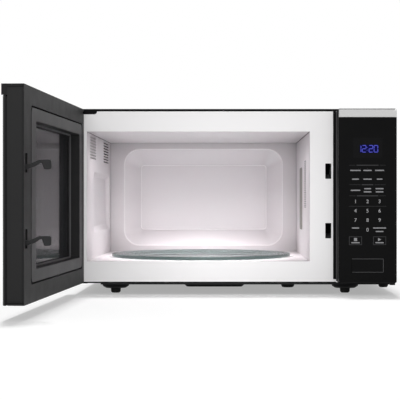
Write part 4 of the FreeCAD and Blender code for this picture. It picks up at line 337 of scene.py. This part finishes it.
def remap(owner, value, low, high):
    """A value from 0 to 1, brought between low and high."""
    node = new_node(owner, "ShaderNodeMapRange", {"Value": value, "To Min": low, "To Max": high})
    return node.outputs["Result"]


def reckoned(owner, operation, *values):
    """Result of one sum with sockets and constants."""
    node = owner.node_tree.nodes.new("ShaderNodeMath")
    node.operation = operation
    for socket, value in zip(node.inputs, values):
        feed(owner, socket, value)
    return node.outputs[0]


def mixed(material, share, first, second, blend="MIX"):
    """A colour made of two colours, by a share of the second."""
    node = material.node_tree.nodes.new("ShaderNodeMix")
    node.data_type = "RGBA"
    node.blend_type = blend
    for socket, value in zip(MIX_INPUTS, (share, first, second)):
        feed(material, node.inputs[socket], value)
    return node.outputs[MIX_RESULT]


def between(material, value, first, second):
    """A colour between two plain colours, by a value."""
    return mixed(material, value, (*first, 1.0), (*second, 1.0))


def tinted(material, value, first, second):
    wire(material, between(material, value, first, second), "Base Color")


def roughened(material, value, low, high):
    wire(material, remap(material, value, low, high), "Roughness")


def bumped(material, height, depth, strength=1.0):
    node = new_node(material, "ShaderNodeBump", {"Strength": strength, "Distance": depth, "Height": height})
    wire(material, node.outputs["Normal"], "Normal")


def base_colour(material):
    """The colour that is linked to a material's surface so far."""
    return material.node_tree.nodes["Principled BSDF"].inputs["Base Color"].links[0].from_socket


def shade(colour, by):
    return tuple(max(0.0, c * by) for c in colour)


def seen_rays(owner):
    """1 for camera, mirror and see-through rays, and 0 for the rest."""
    path = new_node(owner, "ShaderNodeLightPath", {})
    seen = path.outputs["Is Camera Ray"]
    for kind in ("Is Glossy Ray", "Is Transmission Ray"):
        seen = reckoned(owner, "MAXIMUM", seen, path.outputs[kind])
    return seen


# Finishes

def coated(name, colour, roughness, grain, depth, shine, stray):
    """Paint, enamel or moulded plastic: a fine grain in its relief, and cloudy colour and gloss."""
    material = new_material(name, shine)
    cloud = noise(material, grain * CLOUD_GRAINS)
    tinted(material, cloud, shade(colour, 1 - stray), shade(colour, 1 + stray))
    roughened(material, cloud, roughness - CLOUD_ROUGHNESS, roughness + CLOUD_ROUGHNESS)
    bumped(material, noise(material, grain, detail=2.0), depth)
    return material


def enamel_with_corner_shade(name, colour):
    """Glossy enamel with painted shade that darkens it towards the inside corners."""
    material = coated(name, colour, *ENAMEL)
    # Painted shade: the colour darkens towards the inside corners by their ambient occlusion
    corner = new_node(material, "ShaderNodeAmbientOcclusion", {"Distance": CORNER_SHADE_REACH})
    corner_shade = between(material, corner.outputs["AO"], (CORNER_SHADE_LEVEL, CORNER_SHADE_LEVEL, CORNER_SHADE_LEVEL), (1.0, 1.0, 1.0))
    wire(material, mixed(material, 1.0, base_colour(material), corner_shade, "MULTIPLY"), "Base Color")
    return material


def within(material, low, high):
    """1 where a point of the object lies between two corners, and 0 elsewhere."""
    axes = new_node(material, "ShaderNodeSeparateXYZ", {0: places(material)})
    x, y, z = [reckoned(material, "COMPARE", axis, (start + end) / 2, (end - start) / 2)
               for axis, start, end in zip(axes.outputs, low, high)]
    return reckoned(material, "MULTIPLY", reckoned(material, "MULTIPLY", x, y), z)


def lined_case(name, box):
    """Case sheet: black paint outside, near black on the front lip as painted shade of the gap there, and
    pale primer inside.
    """
    low, high = box
    skin = Vector((WRAP_T, WRAP_T, WRAP_T)) * MM / 2
    front = Vector((high.x, low.y + WRAP_T * MM, high.z)) + skin
    material = coated(name, *COATS["case_black"])
    lined = mixed(material, within(material, low + skin, high - skin), base_colour(material), PRIMER_GREY)
    wire(material, mixed(material, within(material, low - skin, front), lined, LIP_SHADE_BLACK), "Base Color")
    return material


def brushed(name, colour, roughness):
    """Metal brushed along its length, with streaks that run level."""
    material = new_material(name, {"Metallic": 1.0})
    streaks = noise(material, 0.02, detail=4.0, stretch=(1.0, 1.0, 90.0))
    tinted(material, streaks, shade(colour, 0.9), shade(colour, 1.06))
    roughened(material, streaks, roughness - 0.03, roughness + 0.04)
    bumped(material, streaks, depth=0.00001, strength=0.4)
    return material


def bare_metal(name, colour, roughness, grain):
    """Plain metal with a cloudy, finely pitted skin."""
    material = new_material(name, {"Metallic": 1.0})
    cloud = noise(material, grain, detail=5.0)
    tinted(material, cloud, shade(colour, 0.82), shade(colour, 1.08))
    roughened(material, cloud, roughness - 0.1, roughness + 0.12)
    bumped(material, noise(material, grain / 8, detail=2.0), depth=0.00002, strength=0.5)
    return material


def laminated_core(name):
    """Stacked steel sheets with a brown varnish."""
    material = new_material(name, {"Metallic": 0.6})
    sheets = noise(material, 0.004, detail=2.0, stretch=(1.0, 6.0, 1.0))
    tinted(material, sheets, (0.16, 0.13, 0.10), (0.36, 0.32, 0.28))
    roughened(material, sheets, low=0.35, high=0.6)
    bumped(material, sheets, depth=0.0001, strength=0.6)
    return material


def mica(name):
    """Pressed mica sheet: pale and dark flakes in a brown grey."""
    material = new_material(name, {"Specular IOR Level": 0.3})
    flakes = new_node(material, "ShaderNodeTexVoronoi", {"Vector": places(material), "Scale": 260.0})
    tone = flakes.outputs["Distance"]
    tinted(material, tone, (0.13, 0.12, 0.105), (0.30, 0.28, 0.25))
    roughened(material, tone, low=0.35, high=0.6)
    bumped(material, tone, depth=0.00006, strength=0.5)
    return material


def circuit_board(name):
    """Green lacquer over tracks."""
    material = new_material(name, {"Specular IOR Level": 0.4})
    tracks = noise(material, 0.006, detail=1.0, stretch=(1.0, 1.0, 3.0))
    tinted(material, tracks, (0.02, 0.11, 0.05), (0.06, 0.22, 0.11))
    roughened(material, tracks, low=0.3, high=0.5)
    return material


def holes(material):
    """1 inside a round hole of the screen and 0 outside, across the opened door's face."""
    face = places(material, (0.0, 1.0, 1.0), DOOR_OPEN_DEG - 90.0)
    spots = new_node(material, "ShaderNodeTexVoronoi", {
        "Vector": face, "Scale": 1.0 / HOLE_PITCH, "Randomness": 0.0})
    return reckoned(material, "LESS_THAN", spots.outputs["Distance"], HOLE_R / HOLE_PITCH)


def screen(name):
    """Black sheet with a close pattern of round holes."""
    material = new_material(name, {"Specular IOR Level": 0.3, "Metallic": 0.2})
    pattern = holes(material)
    tinted(material, pattern, (0.035, 0.035, 0.037), (0.004, 0.004, 0.004))
    roughened(material, noise(material, 0.004), low=0.4, high=0.55)
    bumped(material, remap(material, pattern, 1.0, 0.0), depth=0.0002)
    return material


def smoked_glass(name):
    """Front pane, printed black behind, that shows a trace of the screen."""
    material = new_material(name, {"Specular IOR Level": 0.5, "Coat Weight": 0.3, "Coat Roughness": 0.02})
    tinted(material, holes(material), (0.0075, 0.0075, 0.008), (0.004, 0.004, 0.0045))
    roughened(material, noise(material, 0.06, detail=4.0), low=0.03, high=0.07)
    return material


def window_glass(name):
    """Clear inner pane, a little grey, with faint wipe marks."""
    material = new_material(name, {
        "Base Color": (0.55, 0.55, 0.56, 1.0), "Transmission Weight": 1.0, "IOR": 1.07})
    roughened(material, noise(material, 0.05, detail=4.0, stretch=(1.0, 1.0, 0.3)), low=0.01, high=0.05)
    return material


def tray_glass(name):
    """Pressed glass with a green tint that deepens at its edge, and that lets light fall through it."""
    material = new_material(name, {
        "Base Color": (0.93, 0.98, 0.965, 1.0), "Transmission Weight": 1.0, "IOR": 1.5})
    tint = new_node(material, "ShaderNodeVolumeAbsorption", {
        "Color": (0.30, 0.454, 0.433, 1.0), "Density": 135.0})
    feed(material, material.node_tree.nodes["Material Output"].inputs["Volume"], tint.outputs["Volume"])
    roughened(material, noise(material, 0.03), low=0.22, high=0.28)
    path = new_node(material, "ShaderNodeLightPath", {})
    wire(material, remap(material, path.outputs["Is Shadow Ray"], 1.0, 0.25), "Alpha")
    return material


def lit_stroke(name, dim, bright):
    """Blue light of the clock, a little uneven along each stroke."""
    material = new_material(name, {
        "Base Color": (0.006, 0.006, 0.010, 1.0), "Specular IOR Level": 0.0, "Emission Strength": 1.0})
    wire(material, between(material, noise(material, 0.003), dim, bright), "Emission Color")
    return material


FINISHES = {name: coated(name, *coat) for name, coat in COATS.items()}
FINISHES.update({
    "cavity_white": enamel_with_corner_shade("cavity_white", CAVITY_WHITE),
    "mica_grey": mica("mica_grey"),
    "zinc_steel": bare_metal("zinc_steel", (0.60, 0.61, 0.63), roughness=0.38, grain=0.006),
    "bright_alloy": bare_metal("bright_alloy", (0.72, 0.72, 0.74), roughness=0.3, grain=0.008),
    "stainless": brushed("stainless", (0.56, 0.56, 0.558), roughness=0.12),
    "core_steel": laminated_core("core_steel"),
    "board_green": circuit_board("board_green"),
    "screen_black": screen("screen_black"),
    "smoked_glass": smoked_glass("smoked_glass"),
    "window_glass": window_glass("window_glass"),
    "tray_glass": tray_glass("tray_glass"),
    "clock_blue": lit_stroke("clock_blue", (0.08, 0.09, 0.55), (0.12, 0.13, 0.75)),
    "clock_glow": lit_stroke("clock_glow", (0.0, 0.0, 0.03), (0.0, 0.0, 0.055)),
})


def dress_nodes():
    for node in NODES.values():
        slot = node.data.materials[0].name.split(".")[0]
        node.data.materials[0] = FINISHES[slot]
    NODES["door_frame"].data.materials[0] = FINISHES["door_end"]
    NODES["outer_wrap"].data.materials[0] = lined_case("case_lined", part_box("outer_wrap"))


# New pieces

def linked(name, data):
    made = bpy.data.objects.new(name, data)
    bpy.context.scene.collection.objects.link(made)
    return made


def added(name, mesh, finish, body):
    """A piece made of a mesh in one finish, that moves with a body."""
    mesh.materials.clear()
    mesh.materials.append(FINISHES[finish])
    piece = linked(name, mesh)
    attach(piece, body)


def carried(name, work, finish, body):
    """A piece made of a finished work mesh."""
    bmesh.ops.recalc_face_normals(work, faces=work.faces)
    mesh = bpy.data.meshes.new(name)
    work.to_mesh(mesh)
    work.free()
    added(name, mesh, finish, body)


def meshed(curve):
    """Mesh of a curve or of text, which stands where the curve was drawn."""
    line = linked(curve.name + "_curve", curve)
    bpy.context.view_layer.update()
    mesh = bpy.data.meshes.new_from_object(line.evaluated_get(bpy.context.evaluated_depsgraph_get()))
    bpy.data.objects.remove(line)
    return mesh


def bars(name, boxes, finish, body, carry=Vector):
    """One piece of straight bars, each a low and a high corner in metres, carried to its place."""
    work = bmesh.new()
    for low, high in boxes:
        for corner in bmesh.ops.create_cube(work, size=1.0)["verts"]:
            corner.co = carry([a if c < 0 else b for c, a, b in zip(corner.co, low, high)])
    carried(name, work, finish, body)


def prisms(name, outlines, y, thickness, finish, body):
    """One piece of flat marks, each an outline of (x, z) in millimetres, standing on the plane y."""
    work = bmesh.new()
    for outline in outlines:
        back = [work.verts.new((x * MM, y, z * MM)) for x, z in outline]
        front = [work.verts.new((x * MM, y - thickness * MM, z * MM)) for x, z in outline]
        work.faces.new(front)
        work.faces.new(list(reversed(back)))
        for i, corner in enumerate(front):
            j = (i + 1) % len(front)
            work.faces.new((corner, back[i], back[j], front[j]))
    carried(name, work, finish, body)


def bead(name, points, radius, finish, body):
    """A closed round bead along points."""
    curve = bpy.data.curves.new(name, "CURVE")
    curve.dimensions = "3D"
    curve.bevel_depth = radius * MM
    curve.bevel_resolution = BEAD_ROUNDING
    spline = curve.splines.new("POLY")
    spline.points.add(len(points) - 1)
    for place, point in zip(points, spline.points):
        point.co = (*place, 1.0)
    spline.use_cyclic_u = True
    mesh = meshed(curve)
    mesh.shade_smooth()
    added(name, mesh, finish, body)


def swung(spot, degrees):
    return HINGE + Matrix.Rotation(math.radians(degrees), 3, "Z") @ (Vector(spot) - HINGE)


def as_opened(spot):
    return swung(spot, -DOOR_OPEN_DEG)


def shut_box(name):
    """Lowest and highest corners of a door node as they lie when the door is shut."""
    node = NODES[name]
    spots = [swung(node.matrix_world @ corner.co, DOOR_OPEN_DEG) for corner in node.data.vertices]
    low = Vector([min(spot[axis] for spot in spots) for axis in range(3)])
    high = Vector([max(spot[axis] for spot in spots) for axis in range(3)])
    return low, high


def capsule(x, z, width, height, steps=6):
    """Outline of a level bar with round ends."""
    r = height / 2
    points = []
    for centre, start in ((x + width / 2 - r, -90), (x - width / 2 + r, 90)):
        for step in range(steps + 1):
            angle = math.radians(start + 180 * step / steps)
            points.append((centre + r * math.cos(angle), z + r * math.sin(angle)))
    return points


def upright_capsule(x, z, width, height):
    return [(x + across, z + along) for along, across in capsule(0.0, 0.0, height, width)]


def rectangle(x0, x1, z0, z1):
    return [(x0, z0), (x1, z0), (x1, z1), (x0, z1)]


def ring_of_bars(x0, x1, z0, z1, t):
    """Four thin bars that frame a box without crossing."""
    return [rectangle(x0, x1, z0, z0 + t), rectangle(x0, x1, z1 - t, z1),
            rectangle(x0, x0 + t, z0 + t, z1 - t), rectangle(x1 - t, x1, z0 + t, z1 - t)]


def rounded_loop(centre, width, height, r, y, steps=8):
    """Points round a rectangle with round corners, standing upright at the depth y."""
    points = []
    for turn, (sx, sz) in enumerate(((1, 1), (-1, 1), (-1, -1), (1, -1))):
        for step in range(steps + 1):
            angle = math.radians(90 * (turn + step / steps))
            x = sx * (width / 2 - r) + r * math.cos(angle)
            z = sz * (height / 2 - r) + r * math.sin(angle)
            points.append((centre[0] + x * MM, y, centre[1] + z * MM))
    return points


# Print on the control panel

def panel_middle():
    low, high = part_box("panel_fascia")
    return (low.x + high.x) / 2 / MM


def fascia_front():
    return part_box("panel_fascia")[0].y


def key_x(column):
    return panel_middle() + KEY_SHIFT + (column - 1) * KEY_PITCH


def printed(name, outlines, finish, layer=0):
    """Flat marks on the fascia, over a number of layers of print."""
    prisms(name, outlines, fascia_front() - layer * PRINT_T * MM, PRINT_T, finish, "cabinet")


def numeral(name, text, x, z):
    """A plain number as a thin raised mesh on the fascia."""
    curve = bpy.data.curves.new(name, "FONT")
    curve.body = text
    curve.size = DIGIT_SIZE * MM
    curve.align_x = "CENTER"
    curve.align_y = "CENTER"
    curve.extrude = PRINT_T * MM / 2
    mesh = meshed(curve)
    place = Matrix.Translation((x * MM, fascia_front() - PRINT_T * MM / 2, z * MM))
    mesh.transform(place @ Matrix.Rotation(math.radians(90), 4, "X"))
    added(name, mesh, "digit_white", "cabinet")


def number_keys():
    for z, row in DIGIT_ROWS:
        for column, text in enumerate(row):
            if text != " ":
                numeral("key_digit_" + text, text, key_x(column), z)


def function_marks():
    """Short bars where the function keys are, in place of words."""
    outlines = []
    for z, marks in FUNCTION_ROWS:
        for column, width, rise in marks:
            outlines.append(capsule(key_x(column), z + rise, width, BAR_T))
    printed("function_marks", outlines, "print_white")


def section_lines():
    """Faint rules between the groups of keys, thicker in the middle where a heading would be."""
    middle = panel_middle() + KEY_SHIFT
    half = RULE_T / 2
    outlines = []
    for z, heading in HEADED_RULES:
        outlines.append(capsule(middle, z, heading, HEADING_T))
        for side in (-1, 1):
            inner = middle + side * (heading / 2 + HEADING_GAP)
            outer = middle + side * HEADED_RULE_REACH
            outlines.append(rectangle(min(inner, outer), max(inner, outer), z - half, z + half))
    left = middle - PLAIN_RULE_REACH
    right = middle + PLAIN_RULE_REACH
    outlines.append(rectangle(left, right, PLAIN_RULE_Z - half, PLAIN_RULE_Z + half))
    printed("section_lines", outlines, "print_faint")


def action_keys():
    """Stop and start keys: outlined boxes, one with a square and one with a triangle."""
    stop = key_x(0)
    start = key_x(2)
    z = ACTION_SIGN_Z
    boxes = []
    marks = []
    for x in (stop, start):
        boxes += ring_of_bars(x - ACTION_BOX_W / 2, x + ACTION_BOX_W / 2, *ACTION_BOX_Z, ACTION_BOX_T)
        marks.append(capsule(x, ACTION_BAR_Z, ACTION_BAR_W, ACTION_BAR_T))
    marks.append(rectangle(stop - STOP_HALF, stop + STOP_HALF, z - STOP_HALF, z + STOP_HALF))
    back = start - STOP_HALF
    marks.append([(back, z - START_HALF_H), (start + START_TIP, z), (back, z + START_HALF_H)])
    printed("action_boxes", boxes, "print_faint")
    printed("action_marks", marks, "print_white")


def segment(letter, x, z):
    """One stroke of a seven-stroke numeral whose lower left corner is at x, z."""
    w = CLOCK_DIGIT_W
    h = CLOCK_H / 2
    level = {"a": z + 2 * h, "g": z + h, "d": z}
    if letter in level:
        return capsule(x + w / 2, level[letter], w - CLOCK_STROKE_TRIM, CLOCK_STROKE)
    side = x + (w if letter in "bc" else 0.0)
    low = z + (h if letter in "bf" else 0.0)
    return upright_capsule(side, low + h / 2, CLOCK_STROKE, h - CLOCK_STROKE_TRIM)


def clock(text):
    """Clock numerals made of strokes, lit, on a dark lens."""
    low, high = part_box("display_module")
    lens = rectangle(low.x / MM, high.x / MM, low.z / MM, high.z / MM)
    printed("display_lens", [lens], "display_dark")
    digits = text.replace(":", "")
    width = len(digits) * CLOCK_STEP + CLOCK_COLON_GAP - (CLOCK_STEP - CLOCK_DIGIT_W)
    start = panel_middle() + CLOCK_X - width / 2
    z = CLOCK_Z - CLOCK_H / 2
    x = start
    outlines = []
    for mark in text:
        if mark == ":":
            for rise in CLOCK_COLON_RISES:
                dot = capsule(x - CLOCK_COLON_SHIFT, z + CLOCK_H * rise, CLOCK_COLON_W, CLOCK_STROKE)
                outlines.append(dot)
            x += CLOCK_COLON_GAP
        else:
            outlines += [segment(letter, x, z) for letter in SEGMENTS[mark]]
            x += CLOCK_STEP
    rim = CLOCK_GLOW_RIM
    glow = rectangle(start + CLOCK_DIGIT_W - 2 * rim, start + width + rim, z - rim, z + CLOCK_H + rim)
    printed("clock_glow", [glow], "clock_glow", layer=1)
    printed("clock_numerals", outlines, "clock_blue", layer=2)


# Push button

def button_edge_highlight():
    """Lighter grey edge on the top, right and bottom of the push button, a painted highlight along its bevel.
    """
    low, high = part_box("open_button")
    x0 = low.x / MM
    x1 = high.x / MM
    z0 = low.z / MM
    z1 = high.z / MM
    t = BUTTON_EDGE_T
    inset = BUTTON_EDGE_INSET
    outlines = [rectangle(x0 + inset, x1 - inset, z1 - t, z1), rectangle(x0 + inset, x1 - inset, z0, z0 + t),
                rectangle(x1 - t, x1, z0 + t, z1 - t)]
    prisms("button_edge_highlight", outlines, low.y, PRINT_T, "edge_highlight_grey", "button")


def button_coil():
    """Spring behind the push button, copied from its part so that it stays with the cabinet."""
    piece = linked("button_coil", NODES["button_spring"].data.copy())
    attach(piece, "cabinet")
    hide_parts("button_spring")
    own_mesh(piece)


# Thin pieces in the cavity

def cavity_crease_shade():
    """Dark lines where the cavity's sheets meet, painted shade of the inside corners there."""
    shade_w = CREASE_SHADE_T * MM
    back = BACK_CREASE_SHADE_T * MM
    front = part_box("front_frame")[0].y
    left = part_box("cavity_left_wall")[1].x
    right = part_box("cavity_right_wall")[0].x
    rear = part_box("cavity_back_wall")[0].y
    floor_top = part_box("cavity_floor")[1].z
    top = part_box("cavity_ceiling")[0].z
    along = []
    behind = [((left + shade_w, rear - back, top - back), (right - shade_w, rear, top))]
    for x0, x1 in ((left, left + shade_w), (right - shade_w, right)):
        along.append(((x0, front + WRAP_T * MM, top - shade_w), (x1, rear, top)))
        behind.append(((x0, rear - shade_w, floor_top), (x1, rear, top - shade_w)))
    bars("ceiling_crease_shade", along, "crease_shade_dark", "cabinet")
    bars("back_crease_shade", behind, "crease_shade_grey", "cabinet")


def fold_highlights():
    """Beads on the two folds of the back wall's bulge, in a lighter enamel that paints the highlight along
    each fold.
    """
    low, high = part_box("cavity_back_wall")
    centre = ((low.x + high.x) / 2, (low.z + high.z) / 2)
    mouth = low.y + FOLD_SINK * MM
    bead("mouth_fold_highlight", rounded_loop(centre, *MOUTH_FOLD, mouth), FOLD_BEAD_R, "fold_highlight_white", "cabinet")
    bed = low.y + (BED_DEPTH - BED_PROUD) * MM
    bead("bed_fold_highlight", rounded_loop(centre, *BED_FOLD, bed), BED_BEAD_R, "fold_highlight_white", "cabinet")


def lamp_slit_shade():
    """Black boxes in the slits that the oven lamp shines through, painted shade of the dark space behind
    them.
    """
    x0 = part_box("cavity_right_wall")[0].x + SLIT_SINK * MM
    x1 = x0 + SLIT_SHADE_T * MM
    boxes = []
    for column in range(SLIT_COLUMNS):
        y = SLIT_Y + (column - (SLIT_COLUMNS - 1) / 2) * SLIT_STEP
        for row in range(SLIT_ROWS):
            z = SLIT_Z + (row - (SLIT_ROWS - 1) / 2) * SLIT_PITCH
            low = (x0, (y - SLIT_L / 2) * MM, (z - SLIT_H / 2) * MM)
            high = (x1, (y + SLIT_L / 2) * MM, (z + SLIT_H / 2) * MM)
            boxes.append((low, high))
    bars("lamp_slit_shade", boxes, "switch_black", "cabinet")


def tray_rim_shade():
    """Opaque deep green band round the glass tray's rim: the glass's own green seen edge-on, with painted
    shade for the darkness its steep edge shows.
    """
    low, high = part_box("glass_tray")
    centre = (low + high) / 2
    inner = (high.x - low.x) / 2 + TRAY_EDGE_GAP * MM
    outer = inner + TRAY_EDGE_T * MM
    top = high.z - TRAY_EDGE_TOP * MM
    foot = top - TRAY_EDGE_H * MM
    section = [(inner, foot), (outer, foot), (outer, top), (inner, top)]
    work = bmesh.new()
    loops = []
    for step in range(TRAY_EDGE_STEPS):
        angle = math.tau * step / TRAY_EDGE_STEPS
        loops.append([work.verts.new((centre.x + r * math.cos(angle), centre.y + r * math.sin(angle), z))
                      for r, z in section])
    for here, ahead in zip(loops, loops[1:] + loops[:1]):
        for i in range(len(section)):
            j = (i + 1) % len(section)
            work.faces.new((here[i], here[j], ahead[j], ahead[i]))
    carried("tray_rim_shade", work, "tray_rim_shade", "turntable")


# Thin pieces on the front frame, the door and the panel

def frame_rib():
    """Short upright rib stamped in the front frame, beside the cavity's upper corner."""
    outline = upright_capsule(FRAME_RIB_X, FRAME_RIB_Z, FRAME_RIB_W, FRAME_RIB_L)
    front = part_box("front_frame")[0].y
    prisms("frame_rib", [outline], front, FRAME_RIB_T, "frame_white", "cabinet")


def door_edges():
    """Black cap on the band's free end, a black line round the door's top edge that paints the shade under
    the band, and grooves in its free end.
    """
    band_low, band_high = shut_box("door_band")
    cover_low, cover_high = shut_box("choke_cover")
    frame_low, frame_high = shut_box("door_frame")
    skin = SKIN_T * MM
    end = frame_high.x + skin
    line = cover_high.z - EDGE_LINE_T * MM
    cap_end = (band_high.x + CAP_T * MM, band_high.y, band_high.z)
    caps = [
        ((band_high.x, band_low.y, band_low.z), cap_end),
        ((cover_low.x, cover_high.y, line), (cover_high.x, cover_high.y + skin, cover_high.z)),
        ((frame_high.x, frame_low.y, line), (end, cover_high.y, cover_high.z)),
    ]
    bars("door_edges", caps, "black_trim", "door", as_opened)
    groove = END_GROOVE_T * MM
    inset = END_GROOVE_INSET * MM
    lines = []
    for z in (cover_high.z - inset - groove, frame_low.z + inset):
        lines.append(((frame_high.x, frame_low.y, z), (end, cover_high.y, z + groove)))
    bars("door_grooves", lines, "hinge_black", "door", as_opened)


def glass_edge():
    """Ground edge of the door's front pane, seen at its free end."""
    low, high = shut_box("door_front_glass")
    strip = ((high.x, high.y - GLASS_EDGE_W * MM, low.z), (high.x + SKIN_T * MM, high.y, high.z))
    bars("glass_edge", [strip], "glass_edge", "door", as_opened)


def frame_edge_shade():
    """Near-black strips on the case's edges along the top and the bottom of the front frame: the case is
    black, and the deeper black is painted shade of the gaps there.
    """
    low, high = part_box("front_frame")
    case_low, case_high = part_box("outer_wrap")
    lap = FRAME_SHADE_LAP * MM
    y = low.y - SKIN_T * MM
    edge = GAP_SHADE_X[1] * MM
    above = ((case_low.x, y, high.z - lap), (edge, low.y, case_high.z))
    below = ((case_low.x, y, low.z - lap), (edge, low.y, low.z + lap))
    bars("frame_edge_shade", [above, below], "hinge_black", "cabinet")


def band_turn_shade():
    """Grey strip on the stainless band's top edge, painted shade where the band turns over."""
    low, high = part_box("panel_band")
    top = high.z - BAND_EDGE_SINK * MM
    inset = BAND_EDGE_INSET * MM
    strip = ((low.x, low.y - SKIN_T * MM, top - BAND_EDGE_T * MM), (high.x - inset, low.y, top))
    bars("band_turn_shade", [strip], "band_shade_grey", "cabinet")


def gap_shade():
    """Black strip in the gap between the front frame and the control panel, painted shade of the gap."""
    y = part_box("front_frame")[0].y - GAP_SHADE_PROUD * MM
    low = (GAP_SHADE_X[0] * MM, y, GAP_SHADE_Z[0] * MM)
    high = (GAP_SHADE_X[1] * MM, y + GAP_SHADE_T * MM, GAP_SHADE_Z[1] * MM)
    bars("gap_shade", [(low, high)], "hinge_black", "cabinet")


def panel_lines():
    """Painted highlights: a grey skin on the panel's side flange along the housing's step, and a lighter
    strip where light catches the fascia's lower edge.
    """
    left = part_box("panel_housing")[0].x
    face_low, face_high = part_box("panel_fascia")
    door_low, door_high = shut_box("door_frame")
    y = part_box("front_frame")[0].y - FLANGE_T * MM
    skin = SKIN_T * MM
    end = FLANGE_END * MM
    flange = ((left, y - skin, door_low.z + end), (face_low.x, y, door_high.z - end))
    bars("panel_flange_highlight", [flange], "edge_highlight_grey", "cabinet")
    corner = FASCIA_CORNER_R * MM
    start = (face_low.x + corner, face_low.y - skin, face_low.z)
    stop = (face_high.x - corner, face_low.y, face_low.z + LOW_EDGE_T * MM)
    bars("fascia_edge_highlight", [(start, stop)], "low_edge_highlight", "cabinet")


# Studio

def floor():
    """Pale floor with a light of its own that is seen but lights nothing."""
    mesh = bpy.data.meshes.new("floor")
    r = FLOOR_HALF
    mesh.from_pydata([(-r, -r, 0), (r, -r, 0), (r, r, 0), (-r, r, 0)], [], [(0, 1, 2, 3)])
    material = bpy.data.materials.new("floor")
    material.use_nodes = True
    material.node_tree.nodes.clear()
    diffuse = new_node(material, "ShaderNodeBsdfDiffuse", {"Color": FLOOR_COLOUR})
    strength = reckoned(material, "MULTIPLY", seen_rays(material), FLOOR_GLOW)
    glow = new_node(material, "ShaderNodeEmission", {"Color": WHITE, "Strength": strength})
    both = new_node(material, "ShaderNodeAddShader", {0: diffuse.outputs[0], 1: glow.outputs[0]})
    new_node(material, "ShaderNodeOutputMaterial", {"Surface": both.outputs[0]})
    mesh.materials.append(material)
    piece = linked("floor", mesh)
    return piece


def world():
    """White surroundings, which light the object less than they show."""
    made = bpy.data.worlds.new("studio")
    made.use_nodes = True
    back = made.node_tree.nodes["Background"]
    feed(made, back.inputs["Color"], WHITE)
    feed(made, back.inputs["Strength"], remap(made, seen_rays(made), AMBIENT, 1.0))
    bpy.context.scene.world = made


def lamp(name, place, target, size, power, spread):
    """Area lamp that faces its target and is not seen itself."""
    data = bpy.data.lights.new(name, "AREA")
    data.shape = "RECTANGLE"
    data.size, data.size_y = size
    data.energy = power
    data.spread = math.radians(spread)
    lit = linked(name, data)
    lit.location = place
    lit.rotation_euler = (Vector(target) - Vector(place)).to_track_quat("-Z", "Y").to_euler()
    lit.visible_camera = False
    lit.visible_glossy = name not in UNMIRRORED
    return lit


def sun():
    """Soft light from overhead that leans in from behind."""
    data = bpy.data.lights.new("top", "SUN")
    data.angle = math.radians(SUN_ANGLE_DEG)
    data.energy = SUN_STRENGTH
    lit = linked("top", data)
    lit.rotation_euler = (math.radians(-SUN_LEAN_DEG), math.radians(-SUN_SIDE_DEG), 0.0)
    lit.visible_glossy = False


def studio():
    """Floor, surroundings and lamps, with the floor kept out of the lamps' light."""
    spared = bpy.data.collections.new("spared")
    spared.objects.link(floor())
    spared.collection_objects[0].light_linking.link_state = "EXCLUDE"
    world()
    for name, settings in LAMPS.items():
        lamp(name, *settings).light_linking.receiver_collection = spared
    sun()


def camera():
    data = bpy.data.cameras.new("camera")
    data.sensor_width = SENSOR_W
    data.lens = CAMERA_LENS
    data.shift_x, data.shift_y = CAMERA_SHIFT
    data.clip_start, data.clip_end = CAMERA_CLIP
    made = linked("camera", data)
    made.location = CAMERA_PLACE
    made.rotation_euler = (math.radians(CAMERA_TILT_DEG), 0.0, 0.0)
    bpy.context.scene.camera = made


dress_nodes()
number_keys()
function_marks()
section_lines()
action_keys()
clock(CLOCK_TEXT)
button_edge_highlight()
button_coil()
cavity_crease_shade()
fold_highlights()
lamp_slit_shade()
tray_rim_shade()
frame_rib()
door_edges()
glass_edge()
frame_edge_shade()
band_turn_shade()
gap_shade()
panel_lines()
studio()
camera()
bpy.context.scene.view_settings.view_transform = "Standard"
